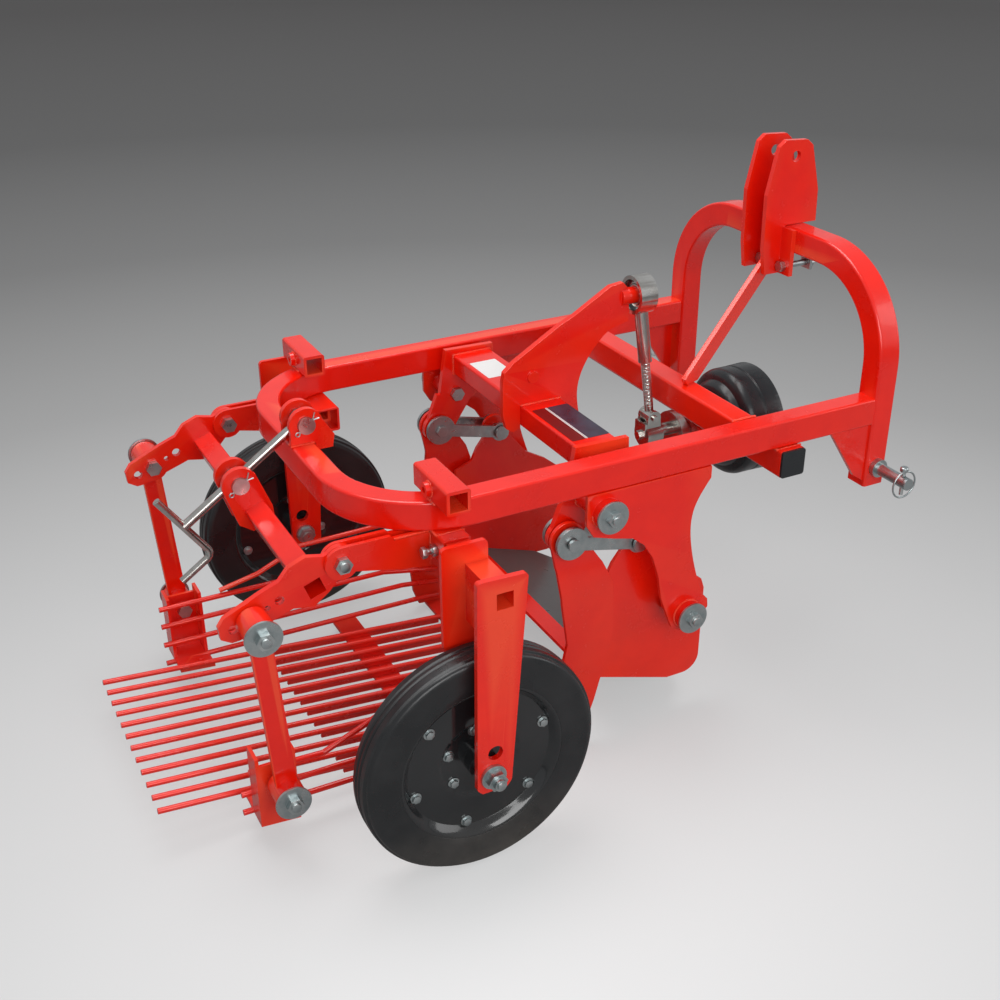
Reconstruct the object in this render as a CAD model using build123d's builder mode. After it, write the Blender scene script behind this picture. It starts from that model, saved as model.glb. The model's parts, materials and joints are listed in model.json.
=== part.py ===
"""Potato digger for a small tractor: one row, shaken share and shaken rod sieve.

Every size is in millimetres. X points forward to the tractor, Y to the left and
Z up. The drawing datum is the top of the side rails, at the rear face of the two
tube stubs, on the machine's centre plane. The planes below carry that datum to
the middle of the machine's footprint at floor level.
"""
import math
import os
from build123d import *

os.makedirs("parts", exist_ok=True)

# ---------------------------------------------------------------- datum
DATUM_X = -236.0
DATUM_Y = 40.0
RAIL_TOP = 577.0          # height of the rails' top over the floor

# ---------------------------------------------------------------- frame tube
RAIL_OUT = 320.0          # half width over the rails
RAIL_WIDTH = 42.0
RAIL_HEIGHT = 50.0
RAIL_REAR = -122.0
BEND = 190.0              # outer radius of the rear bend and of the arch
WALL = 4.0
CORNER = 5.0

# ---------------------------------------------------------------- hitch
ARCH_REAR = 853.0
ARCH_DEPTH = 45.0
ARCH_TUBE = 46.0
ARCH_TOP = 240.0
ARCH_FOOT = -173.0
LOWER_PIN = (877.0, -137.0)
LOWER_PIN_R = 11.0
TOP_HOLE = (861.0, 366.0)
TOP_HOLE_R = 9.75
EAR_Y = 30.0

# ---------------------------------------------------------------- drive
DRIVE_Y = -55.0           # plane of the drive shaft and of the rod's lower end
SHAFT_Z = -121.0
SHAFT_R = 17.0
THROW = 13.0              # radius of the crank
EYE = (541.0, 157.0)      # centre of the ball in the drive rod's upper eye
EYE_Y = -28.0             # middle of the rocker's lever, which holds that ball
KNUCKLE = (558.0, -73.0)  # cross pin over the big end

# ---------------------------------------------------------------- pivots
ROCKER_PIVOT = (303.0, -88.0)
SIEVE_PIVOT = (264.0, -156.0)
LINK_PIVOT = (395.0, -187.0)
SHARE_PIVOT = (477.0, -332.0)
LEVER_PIVOT = (-144.5, -72.0)
HANGER_TOP = (-288.0, -131.0)
HANGER_LOW = (-268.0, -440.0)
RUNNING = 0.08            # radial play of a pin in its bore
LOOSE = 3.0               # radial play where a linkage is left open

# ---------------------------------------------------------------- wheels
AXLE = {"right": (1.0, -379.0), "left": (9.0, -379.0)}
RIM_R = 138.0
TYRE_R = RIM_R + 60.0
HUB_HALF = 28.0
WHEEL_Y = {"right": -RAIL_OUT - 123.0, "left": RAIL_OUT + 88.0}
LEG_Y = {"right": (-RAIL_OUT - 180.0, -RAIL_OUT - 170.0), "left": (RAIL_OUT + 31.0, RAIL_OUT + 41.0)}

# ---------------------------------------------------------------- sieve
ROD_TIP = (-449.0, -500.0)
ROD_FALL = 0.088          # the rods fall forward by this slope
ROD_R = 5.0
ROD_COUNT = 12
ROD_EDGE = 122.0          # outermost rods, in from the rails' outer faces
ROD_PITCH = 2 * (RAIL_OUT - ROD_EDGE) / (ROD_COUNT - 1)
SIEVE_FRONT = 285.0


def side(y):
    """Plane of a side view: local X forward, local Y up, facing right."""
    return Plane(origin=(DATUM_X, DATUM_Y + y, RAIL_TOP), x_dir=(1, 0, 0), z_dir=(0, -1, 0))


def deck(z):
    """Level plane: local X forward, local Y to the left."""
    return Plane(origin=(DATUM_X, DATUM_Y, RAIL_TOP + z), x_dir=(1, 0, 0), z_dir=(0, 0, 1))


def cross(x):
    """Plane across the machine: local X to the left, local Y up, facing forward."""
    return Plane(origin=(DATUM_X + x, DATUM_Y, RAIL_TOP), x_dir=(0, 1, 0), z_dir=(1, 0, 0))


def flank(hand, inner, outer):
    """Side plane for a plate between two distances out from the rail's outer face (inward is negative)."""
    return side(RAIL_OUT + outer) if hand > 0 else side(-RAIL_OUT - inner)


def save(builder, name):
    builder.part.label = name
    export_step(builder.part, f"parts/{name}.step")


def pin(hand, centre, radius, inner, outer):
    """A round bar along Y between two distances out from the rail's outer face."""
    with BuildSketch(flank(hand, inner, outer)) as disc:
        with Locations(centre):
            Circle(radius)
    extrude(disc.sketch, amount=outer - inner)


def bar_between(first, second, width):
    """A flat bar's round ended outline between two points of a side view."""
    length = math.dist(first, second)
    turn = math.degrees(math.atan2(second[1] - first[1], second[0] - first[0]))
    middle = ((first[0] + second[0]) / 2, (first[1] + second[1]) / 2)
    with Locations(Location((middle[0], middle[1], 0), (0, 0, turn))):
        Rectangle(length, width)
    with Locations(first, second):
        Circle(width / 2)


def u_band(front, rear, half, radius, width, height, plane, amount, mode=Mode.ADD):
    """A U shaped band of tube, round at its rear corners, open at its front."""
    with BuildSketch(plane) as band:
        with BuildLine():
            FilletPolyline((front, -half), (rear, -half), (rear, half), (front, half), radius=radius)
            Line((front, half), (front, -half))
        make_face()
        inner = half - width
        with BuildLine():
            FilletPolyline((front + height, -inner), (rear + width, -inner), (rear + width, inner),
                           (front + height, inner), radius=radius - width)
            Line((front + height, inner), (front + height, -inner))
        make_face(mode=Mode.SUBTRACT)
    extrude(band.sketch, amount=amount, mode=mode)


def arch_band(plane, foot, out, top, radius, tube, gap, amount, mode=Mode.ADD):
    """The hitch arch: an upside down U of tube, open or closed at its feet."""
    inner = out - tube
    with BuildSketch(plane) as band:
        with BuildLine():
            FilletPolyline((-out, foot), (-out, top), (out, top), (out, foot), radius=radius)
            Line((out, foot), (-out, foot))
        make_face()
        with BuildLine():
            FilletPolyline((-inner, foot - gap), (-inner, top - tube), (inner, top - tube),
                           (inner, foot - gap), radius=radius - tube)
            Line((inner, foot - gap), (-inner, foot - gap))
        make_face(mode=Mode.SUBTRACT)
    extrude(band.sketch, amount=amount, mode=mode)


def round_bar(points, radius):
    """A bent round bar through points given as distances (x, y, z) from the datum."""
    corners = [Vector(DATUM_X + x, DATUM_Y + y, RAIL_TOP + z) for x, y, z in points]
    with BuildLine() as path:
        FilletPolyline(*corners, radius=2 * radius)
    with BuildSketch(Plane(origin=corners[0], z_dir=corners[1] - corners[0])) as disc:
        Circle(radius)
    sweep(sections=disc.sketch, path=path.wires()[0])


# ================================================================ side rails
with BuildPart() as side_rails:
    u_band(ARCH_REAR, RAIL_REAR, RAIL_OUT, BEND, RAIL_WIDTH, 1.0, deck(0), -RAIL_HEIGHT)
    long_edges = side_rails.edges().filter_by(lambda e: e.center().X < DATUM_X + ARCH_REAR - 1)
    tube_edges = long_edges.group_by(Axis.Z)[-1] + long_edges.group_by(Axis.Z)[0]
    fillet(tube_edges, CORNER)
    u_band(ARCH_REAR - WALL, RAIL_REAR + WALL, RAIL_OUT - WALL, BEND - WALL, RAIL_WIDTH - 2 * WALL,
           0.0, deck(-WALL), -(RAIL_HEIGHT - 2 * WALL), mode=Mode.SUBTRACT)
save(side_rails, "side_rails")

# ================================================================ hitch arch
with BuildPart() as hitch_arch:
    arch_band(cross(ARCH_REAR), ARCH_FOOT, RAIL_OUT, ARCH_TOP, BEND, ARCH_TUBE, 1.0, ARCH_DEPTH)
    arch_long = hitch_arch.edges().filter_by(lambda e: e.center().Z > RAIL_TOP + ARCH_FOOT + 1)
    arch_edges = arch_long.group_by(Axis.X)[0] + arch_long.group_by(Axis.X)[-1]
    fillet(arch_edges, CORNER)
    arch_band(cross(ARCH_REAR + WALL), ARCH_FOOT + WALL, RAIL_OUT - WALL, ARCH_TOP - WALL,
              BEND - WALL, ARCH_TUBE - 2 * WALL, 0.0, ARCH_DEPTH - 2 * WALL, mode=Mode.SUBTRACT)
    # gusset under each rail, flush with the leg's outer face
    for hand in (-1, 1):
        with BuildSketch(flank(hand, -14, -6)):
            with BuildLine():
                Polyline((766, -50), (ARCH_REAR + 2, -50), (ARCH_REAR + 2, -163), (830, -146), close=True)
            make_face()
        extrude(amount=8)
save(hitch_arch, "hitch_arch")

# ================================================================ cross tubes
with BuildPart() as cross_tube:
    with BuildSketch(side(RAIL_OUT - RAIL_WIDTH)):
        with Locations((599.5, -25)):
            RectangleRounded(45, RAIL_HEIGHT, CORNER)
            Rectangle(37, RAIL_HEIGHT - 8, mode=Mode.SUBTRACT)
    extrude(amount=2 * (RAIL_OUT - RAIL_WIDTH))
save(cross_tube, "cross_tube")

DROP = (667.0, -75.0)
DROP_OVER = 12.0          # how far the drop tube stands out past each rail
with BuildPart() as drop_tube:
    with BuildSketch(side(RAIL_OUT + DROP_OVER)):
        with Locations(DROP):
            RectangleRounded(50, 50, CORNER)
            Rectangle(42, 42, mode=Mode.SUBTRACT)
    extrude(amount=2 * (RAIL_OUT + DROP_OVER))
save(drop_tube, "drop_tube")

with BuildPart() as tube_caps:
    for hand in (-1, 1):
        with BuildSketch(flank(hand, DROP_OVER, DROP_OVER + 5)):
            with Locations(DROP):
                RectangleRounded(49, 49, CORNER)
        extrude(amount=5)
        with BuildSketch(flank(hand, DROP_OVER - 10, DROP_OVER)):
            with Locations(DROP):
                RectangleRounded(42, 42, 2)
        extrude(amount=10)
save(tube_caps, "tube_caps")

# ================================================================ stubs on the rails
STUB = 40.0
STUB_HOLE = 29.0
with BuildPart() as tube_stubs:
    for hand in (-1, 1):
        with BuildSketch(flank(hand, -76, 42)):
            with Locations((19, STUB / 2)):
                RectangleRounded(STUB, STUB, CORNER)
                Rectangle(STUB_HOLE, STUB_HOLE, mode=Mode.SUBTRACT)
        extrude(amount=118)
        # welded nut for the set screw
        with BuildSketch(cross(-1)):
            with Locations((hand * (RAIL_OUT - 20), STUB / 2)):
                Circle(12)
        extrude(amount=-9)
        with BuildSketch(cross(-10)):
            with Locations((hand * (RAIL_OUT - 20), STUB / 2)):
                Circle(5)
        extrude(amount=16, mode=Mode.SUBTRACT)
save(tube_stubs, "tube_stubs")

# ================================================================ wheel sockets
SOCKET = (23.0, -73.0)
SOCKET_OUT = 46.0
SOCKET_BORE = 38.0
with BuildPart() as wheel_sockets:
    for hand in (-1, 1):
        with BuildSketch(flank(hand, -117, 25)):
            with Locations(SOCKET):
                RectangleRounded(SOCKET_OUT, SOCKET_OUT, 4)
                Rectangle(SOCKET_BORE, SOCKET_BORE, mode=Mode.SUBTRACT)
        extrude(amount=142)
save(wheel_sockets, "wheel_sockets")

ARM_TUBE = 37.6
ARM_HOLE = 27.0
PLATE_Y = {"right": (-RAIL_OUT - 90.0, -RAIL_OUT - 82.0), "left": (RAIL_OUT + 96.0, RAIL_OUT + 104.0)}
ARM_SPAN = {"right": (LEG_Y["right"][0], 80.0 - RAIL_OUT), "left": (RAIL_OUT - 80.0, PLATE_Y["left"][1])}
GUSSET_SPAN = {"right": (LEG_Y["right"][1], PLATE_Y["right"][0]), "left": (LEG_Y["left"][1], PLATE_Y["left"][0])}
PLATE_LOW = {"right": -196.0, "left": -150.0}


def wheel_arm(name):
    """Bar out of the socket, stop plate, and the leg that carries the axle."""
    with BuildPart() as arm:
        near, far = ARM_SPAN[name]
        with BuildSketch(side(far)):
            with Locations(SOCKET):
                Rectangle(ARM_TUBE, ARM_TUBE)
        extrude(amount=far - near)
        near, far = PLATE_Y[name]
        with BuildSketch(side(far)):
            with BuildLine():
                Polyline((-34, PLATE_LOW[name]), (42, PLATE_LOW[name]), (42, -22), (-34, -22), close=True)
            make_face()
            fillet(vertices(), 8)
        extrude(amount=far - near)
        near, far = LEG_Y[name]
        with BuildSketch(side(far)):
            with BuildLine():
                foot = AXLE[name][0]
                Polyline((-21, -34), (61, -37), (foot + 33, -398), (foot + 25, -409), (foot - 17, -409),
                         (foot - 26, -400), close=True)
            make_face()
            fillet(vertices(), 6)
        extrude(amount=far - near)
        near, far = GUSSET_SPAN[name]
        with BuildSketch(side(far)):
            with Locations((8, -120)):
                Rectangle(8, 62)
        extrude(amount=far - near)
        # the bar's bore shows as a square hole in the leg, the spare axle hole as a round one
        with BuildSketch(side(500)):
            with Locations(SOCKET):
                Rectangle(ARM_HOLE, ARM_HOLE)
        extrude(amount=1100, mode=Mode.SUBTRACT)
        with BuildSketch(side(500)):
            with Locations((6, -338)):
                Circle(12.5)
            with Locations(AXLE[name]):
                Circle(10)
        extrude(amount=1100, mode=Mode.SUBTRACT)
    save(arm, f"wheel_arm_{name}")


for arm_name in ("right", "left"):
    wheel_arm(arm_name)

# round parts on each axle: (from, to, radius), measured from the leg's outer face in "right", inner in "left"
LEG_FACE = {"right": LEG_Y["right"][0], "left": LEG_Y["left"][0]}
AXLE_ROUNDS = {
    "right": ((-28, 96, 10), (-6, 0, 21), (10, 27, 16), (87, 96, 16)),
    "left": ((-19, 97, 10), (-6, 0, 19), (10, 27, 16), (87, 95, 16)),
}
AXLE_NUTS = {"right": (-20, -6), "left": (-17, -6)}
with BuildPart() as axle_bolts:
    for name, rounds in AXLE_ROUNDS.items():
        for start, end, radius in rounds:
            with BuildSketch(side(LEG_FACE[name] + end)):
                with Locations(AXLE[name]):
                    Circle(radius)
            extrude(amount=end - start)
        start, end = AXLE_NUTS[name]
        with BuildSketch(side(LEG_FACE[name] + end)):
            with Locations(AXLE[name]):
                RegularPolygon(16.5, 6)
        extrude(amount=end - start)
save(axle_bolts, "axle_bolts")

# ================================================================ wheels
# half of the tyre's section, from the rim to the middle of the tread: (radius, distance from the middle)
TYRE_HALF = ((RIM_R, 27), (RIM_R + 12, 29.5), (RIM_R + 44, 30), (RIM_R + 51, 28.5), (RIM_R + 54, 25),
             (RIM_R + 55, 21), (RIM_R + 59, 19), (TYRE_R, 9), (TYRE_R - 3, 7), (TYRE_R - 3, 4), (TYRE_R, 2))


def wheel(name):
    """A solid tyre and a pressed rim, both turned about the axle."""
    centre = WHEEL_Y[name]
    axis_plane = Plane(origin=(DATUM_X + AXLE[name][0], DATUM_Y + centre, RAIL_TOP + AXLE[name][1]),
                       x_dir=(1, 0, 0), z_dir=(0, 0, 1))
    spin = Axis(origin=axis_plane.origin, direction=(0, 1, 0))
    with BuildPart() as tyre:
        with BuildSketch(axis_plane):
            with BuildLine():
                right_half = [(radius, -out) for radius, out in TYRE_HALF]
                Polyline(*right_half, *reversed(TYRE_HALF), close=True)
            make_face()
        revolve(axis=spin)
    save(tyre, f"tyre_{name}")
    with BuildPart() as rim:
        with BuildSketch(axis_plane):
            with BuildLine():
                # rim bed, pressed disc and hub in one half section, dished to the right
                Polyline((10.06, HUB_HALF), (25, HUB_HALF), (25, -1), (60, -1), (72, -7), (RIM_R - 16, -7),
                         (RIM_R - 9, -15), (RIM_R - 4, 26), (RIM_R, 26.8), (RIM_R, -26.8), (RIM_R - 4, -26),
                         (RIM_R - 9, -21), (RIM_R - 16, -13), (72, -13), (60, -7), (25, -7), (25, -HUB_HALF),
                         (10.06, -HUB_HALF), close=True)
            make_face()
        revolve(axis=spin)
    save(rim, f"rim_{name}")


for wheel_name in ("right", "left"):
    wheel(wheel_name)

# ================================================================ fixed side plates
PLATE_THICK = 8.0
BOSS_IN = -50.0           # inner end of the share's boss, from the rail's outer face
BOSS_OUT = 16.0           # outer end of both bosses
for hand, name in ((-1, "right"), (1, "left")):
    with BuildPart() as side_plate:
        with BuildSketch(flank(hand, -PLATE_THICK, 0)):
            with BuildLine():
                Polyline((266, -50), (266, -104), (280, -128), (318, -140), (356, -150), (379, -168),
                         (398, -198), (412, -240), (420, -285), (446, -352))
                Polyline((446, -352), (477, -366), (500, -356), (522, -330), (520, -314), (506, -298))
                Spline((506, -298), (476, -190), (477, -125), (508, -72),
                       tangents=((-0.35, 1), (0.75, 1)))
                Polyline((508, -72), (508, -50), (266, -50))
            make_face()
            with Locations(SHARE_PIVOT, ROCKER_PIVOT):
                Circle(34)
            with Locations(ROCKER_PIVOT):
                Circle(11 + RUNNING, mode=Mode.SUBTRACT)
            with Locations(SHARE_PIVOT):
                Circle(11, mode=Mode.SUBTRACT)
        extrude(amount=PLATE_THICK)
        # bosses that stand in from the plate to the rocker and the share, and out to the washers
        with BuildSketch(flank(hand, BOSS_IN, -PLATE_THICK)):
            with Locations(SHARE_PIVOT):
                Circle(22)
                Circle(11, mode=Mode.SUBTRACT)
        extrude(amount=-PLATE_THICK - BOSS_IN)
        with BuildSketch(flank(hand, 0, BOSS_OUT)):
            with Locations(SHARE_PIVOT, ROCKER_PIVOT):
                Circle(27)
            with Locations(ROCKER_PIVOT):
                Circle(11 + RUNNING, mode=Mode.SUBTRACT)
            with Locations(SHARE_PIVOT):
                Circle(11, mode=Mode.SUBTRACT)
        extrude(amount=BOSS_OUT)
    save(side_plate, f"side_plate_{name}")

with BuildPart() as share_studs:
    for hand in (-1, 1):
        pin(hand, SHARE_PIVOT, 11, -72, 26)
        pin(hand, SHARE_PIVOT, 29, 16, 20)
        with BuildSketch(flank(hand, 20, 30)):
            with Locations(SHARE_PIVOT):
                RegularPolygon(14, 6)
        extrude(amount=10)
        with BuildSketch(flank(hand, -82, -70)):
            with Locations(SHARE_PIVOT):
                RegularPolygon(16, 6)
        extrude(amount=12)
save(share_studs, "share_studs")

# ================================================================ lever brackets at the rear
with BuildPart() as lever_brackets:
    for hand in (-1, 1):
        for inner in (-47, -28):
            with BuildSketch(flank(hand, inner, inner + 7)):
                with BuildLine():
                    Polyline((LEVER_PIVOT[0], LEVER_PIVOT[1] + 27), (-66, -45), (-60, -50), (0, -50), (0, -114),
                             (-48, -107), (-124, -90), close=True)
                make_face()
                with Locations(LEVER_PIVOT):
                    Circle(27)
                    Circle(9.05, mode=Mode.SUBTRACT)
            extrude(amount=7)
save(lever_brackets, "lever_brackets")

# ================================================================ rear levers and their cross bar
LEVER_OUTLINE = ((-144, -47), (-171, -56), (-198, -50), (-225, -61), (-241, -80), (-272, -92),
                 (-328, -118), (-338, -132), (-336, -152), (-320, -162), (-307, -161), (-277, -150),
                 (-223, -131), (-190, -137), (-164, -117), (-148, -99))
LEVER_OUT = -29.0         # outer face of the levers, from the rail's outer face
CROSSBAR = (-187.0, -106.0)
CROSSBAR_TURN = 20.0
CROSSBAR_OUT = 36.0
CROSSBAR_HOLE = 27.0
SCREW_FRAME = (-94.0, 34.0)
SCREW_BAR = (-213.0, -48.0)
with BuildPart() as lift_levers:
    for hand in (-1, 1):
        with BuildSketch(flank(hand, LEVER_OUT - 10, LEVER_OUT)):
            with BuildLine():
                Polyline(*LEVER_OUTLINE, close=True)
            make_face()
            with Locations(HANGER_TOP, LEVER_PIVOT):
                Circle(27)
            with Locations(HANGER_TOP, LEVER_PIVOT):
                Circle(9.05, mode=Mode.SUBTRACT)
            with Locations((-243, -111), (-316, -140)):
                Circle(7.5, mode=Mode.SUBTRACT)
            with Locations((-262, -119)):
                Circle(4.5, mode=Mode.SUBTRACT)
        extrude(amount=10)
    with BuildSketch(side(RAIL_OUT + LEVER_OUT)):
        with Locations(Location((CROSSBAR[0], CROSSBAR[1], 0), (0, 0, CROSSBAR_TURN))):
            RectangleRounded(CROSSBAR_OUT, CROSSBAR_OUT, 3)
    extrude(amount=2 * (RAIL_OUT + LEVER_OUT))
    with BuildSketch(side(RAIL_OUT)):
        with Locations(Location((CROSSBAR[0], CROSSBAR[1], 0), (0, 0, CROSSBAR_TURN))):
            Rectangle(CROSSBAR_HOLE, CROSSBAR_HOLE)
    extrude(amount=2 * RAIL_OUT, mode=Mode.SUBTRACT)
    for inner in (15, -25):
        with BuildSketch(side(inner + 10)):
            with BuildLine():
                Polyline((-240, -61), (-221, -120), (-198, -136), (-160, -118), (-162, -96), (-186, -33),
                         close=True)
            make_face()
            with Locations(SCREW_BAR):
                Circle(30)
            with Locations(SCREW_BAR):
                Circle(14.55, mode=Mode.SUBTRACT)
            with Locations(Location((CROSSBAR[0], CROSSBAR[1], 0), (0, 0, CROSSBAR_TURN))):
                Rectangle(CROSSBAR_HOLE, CROSSBAR_HOLE, mode=Mode.SUBTRACT)
        extrude(amount=10)
save(lift_levers, "lift_levers")

with BuildPart() as screw_clevis:
    for inner in (15, -25):
        with BuildSketch(side(inner + 10)):
            with Locations(SCREW_FRAME):
                Circle(29)
            with BuildLine():
                Polyline((-121, 30), (-122, 0), (-80, 0), (-80, -14), (-50, -14), (-46, 8), (-64, 38),
                         close=True)
            make_face()
            with Locations(SCREW_FRAME):
                Circle(14.55, mode=Mode.SUBTRACT)
        extrude(amount=10)
save(screw_clevis, "screw_clevis")

# trunnion pins through both clevises and the pivot bolts of the levers
screw_run = math.dist(SCREW_FRAME, SCREW_BAR)
screw_x = (SCREW_BAR[0] - SCREW_FRAME[0]) / screw_run
screw_z = (SCREW_BAR[1] - SCREW_FRAME[1]) / screw_run
SCREW_HEAD = Vector(DATUM_X + SCREW_FRAME[0], DATUM_Y, RAIL_TOP + SCREW_FRAME[1])
SCREW_WAY = Vector(screw_x, 0, screw_z)
SCREW_SIDE = Vector(screw_z, 0, -screw_x)
with BuildPart() as lift_pins:
    for centre in (SCREW_FRAME, SCREW_BAR):
        with BuildSketch(side(31)):
            with Locations(centre):
                Circle(14.5)
        extrude(amount=62)
    with BuildSketch(Plane(origin=SCREW_HEAD - SCREW_WAY * 30, x_dir=(0, 1, 0), z_dir=SCREW_WAY)):
        Circle(8.05)
    extrude(amount=220, mode=Mode.SUBTRACT)
    for hand in (-1, 1):
        pin(hand, LEVER_PIVOT, 9, -58, -14)
        with BuildSketch(flank(hand, -21, -12)):
            with Locations(LEVER_PIVOT):
                RegularPolygon(14, 6)
        extrude(amount=9)
        with BuildSketch(flank(hand, -58, -47)):
            with Locations(LEVER_PIVOT):
                RegularPolygon(14, 6)
        extrude(amount=11)
        # hanger bolt: head inside the lever, shank, washer and nut outside the boss
        pin(hand, HANGER_TOP, 9, -44, 32)
        with BuildSketch(flank(hand, -49, -39)):
            with Locations(HANGER_TOP):
                RegularPolygon(14, 6)
        extrude(amount=10)
        pin(hand, HANGER_TOP, 29, 26, 30)
        with BuildSketch(flank(hand, 30, 40)):
            with Locations(HANGER_TOP):
                RegularPolygon(14, 6)
        extrude(amount=10)
save(lift_pins, "lift_pins")

# ================================================================ screw with its crank
CRANK_AT = 258.0          # distance of the crank's arm from the front trunnion
with BuildPart() as lift_screw:
    with BuildSketch(Plane(origin=SCREW_HEAD - SCREW_WAY * 20, x_dir=(0, 1, 0), z_dir=SCREW_WAY)):
        Circle(8)
    extrude(amount=CRANK_AT + 20)
    upper = SCREW_HEAD + SCREW_WAY * CRANK_AT + SCREW_SIDE * 68
    lower = SCREW_HEAD + SCREW_WAY * CRANK_AT - SCREW_SIDE * 74
    with BuildLine() as crank_path:
        FilletPolyline(upper, lower, lower + SCREW_WAY * 68, radius=14)
    with BuildSketch(Plane(origin=upper, z_dir=-SCREW_SIDE)):
        Circle(6.5)
    sweep(path=crank_path.wires()[0])
save(lift_screw, "lift_screw")

# ================================================================ top link bracket
EAR_OUTLINE = ((822, 386), (836, 397), (884, 394), (897, 383), (919, 300), (921, 241), (851, 241),
               (851, 152), (812, 152), (805, 200), (803, 300))
with BuildPart() as top_link_ears:
    for y, top in ((EAR_Y, 286), (-EAR_Y, 239)):
        with BuildSketch(side(y + 5)):
            with BuildLine():
                Polyline(*EAR_OUTLINE, close=True)
            make_face()
            fillet(vertices().filter_by(lambda v: v.Y > 290 or v.Y < 151), 5)
            with Locations(TOP_HOLE):
                Circle(TOP_HOLE_R, mode=Mode.SUBTRACT)
        extrude(amount=10)
        # flange on the rear face of the arch
        with BuildSketch(side(y - 5)):
            with BuildLine():
                Polyline((844, 152), (853, 152), (853, top), (844, top), close=True)
            make_face()
        extrude(amount=30)
        with BuildSketch(cross(840)):
            with Locations((y - 16, 168)):
                Circle(6)
        extrude(amount=20, mode=Mode.SUBTRACT)
save(top_link_ears, "top_link_ears")

with BuildPart() as bracket_bolts:
    for y in (EAR_Y, -EAR_Y):
        with BuildSketch(cross(834)):
            with Locations((y - 16, 168)):
                RegularPolygon(10.5, 6)
        extrude(amount=10)
        with BuildSketch(cross(840)):
            with Locations((y - 16, 168)):
                Circle(6)
        extrude(amount=70)
        with BuildSketch(cross(898)):
            with Locations((y - 16, 182)):
                Rectangle(26, 52)
        extrude(amount=6)
        with BuildSketch(cross(904)):
            with Locations((y - 16, 168)):
                RegularPolygon(10.5, 6)
        extrude(amount=8)
save(bracket_bolts, "bracket_bolts")

# ================================================================ flat brace from cross tube to arch
BRACE_FOOT = Vector(DATUM_X + 597, DATUM_Y - 107, RAIL_TOP - 1)
BRACE_HEAD = Vector(DATUM_X + 860, DATUM_Y + 2, RAIL_TOP + 182)
with BuildPart() as arch_brace:
    run = BRACE_HEAD - BRACE_FOOT
    flat = run.cross(Vector(0, 0, 1))
    with BuildSketch(Plane(origin=BRACE_FOOT, x_dir=flat, z_dir=run)):
        Rectangle(10, 34)
    extrude(amount=run.length)
    with Locations(Location((BRACE_FOOT.X, BRACE_FOOT.Y, RAIL_TOP - 30))):
        Box(120, 80, 60, mode=Mode.SUBTRACT)
    with Locations(Location((DATUM_X + 844 + 60, BRACE_HEAD.Y, BRACE_HEAD.Z))):
        Box(120, 120, 120, mode=Mode.SUBTRACT)
save(arch_brace, "arch_brace")

# ================================================================ lower hitch pins
with BuildPart() as hitch_pins:
    for hand in (-1, 1):
        pin(hand, LOWER_PIN, 17, 0, 10)
        pin(hand, LOWER_PIN, LOWER_PIN_R, 0, 83)
        with BuildSketch(deck(LOWER_PIN[1] - 20)):
            with Locations((LOWER_PIN[0], hand * 390)):
                Circle(4)
        extrude(amount=40, mode=Mode.SUBTRACT)
save(hitch_pins, "hitch_pins")

# ================================================================ drive shaft, its bearing and guard
with BuildPart() as pto_housing:
    with BuildSketch(cross(644)):
        with Locations((DRIVE_Y, SHAFT_Z)):
            Circle(38)
            Circle(SHAFT_R + RUNNING, mode=Mode.SUBTRACT)
        with Locations((DRIVE_Y, -75)):
            Rectangle(120, 50, mode=Mode.SUBTRACT)
    extrude(amount=48)
    # spigot that the guard is clamped on
    with BuildSketch(cross(692)):
        with Locations((DRIVE_Y, SHAFT_Z)):
            Circle(30)
            Circle(SHAFT_R + RUNNING, mode=Mode.SUBTRACT)
    extrude(amount=18)
save(pto_housing, "pto_housing")

with BuildPart() as pto_guard:
    guard_axis = Axis(origin=(DATUM_X, DATUM_Y + DRIVE_Y, RAIL_TOP + SHAFT_Z), direction=(1, 0, 0))
    guard_plane = Plane(origin=(DATUM_X, DATUM_Y + DRIVE_Y, RAIL_TOP + SHAFT_Z),
                        x_dir=(1, 0, 0), z_dir=(0, -1, 0))
    with BuildSketch(guard_plane):
        with BuildLine():
            Polyline((697, 30), (697, 64), (700, 74), (706, 80), (715, 84), (717, 90), (721, 97),
                     (727, 101), (733, 103), (755, 103), (757, 101), (759, 101), (761, 103), (793, 104),
                     (796, 102), (796, 98), (735, 98), (728, 95), (723, 88), (719, 79), (711, 76),
                     (704, 71), (702, 62), (702, 30), close=True)
        make_face()
    revolve(axis=guard_axis)
save(pto_guard, "pto_guard")

SPLINE_R = 17.5
with BuildPart() as pto_shaft:
    with BuildSketch(cross(622)):
        with Locations((DRIVE_Y, SHAFT_Z)):
            Circle(SHAFT_R)
    extrude(amount=98)
    with BuildSketch(cross(720)):
        with Locations((DRIVE_Y, SHAFT_Z)):
            Circle(SPLINE_R - 2.5)
            for turn in range(6):
                with Locations(Location((0, 0, 0), (0, 0, 60 * turn))):
                    with Locations((SPLINE_R - 4, 0)):
                        Rectangle(8, 8.6)
    extrude(amount=68)
    with BuildSketch(cross(606)):
        with Locations((DRIVE_Y, SHAFT_Z)):
            Circle(44)
    extrude(amount=16)
    with BuildSketch(cross(KNUCKLE[0] + 22)):
        with Locations((DRIVE_Y, SHAFT_Z + THROW)):
            Circle(12.5)
    extrude(amount=606 - KNUCKLE[0] - 22)
save(pto_shaft, "pto_shaft")

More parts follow.
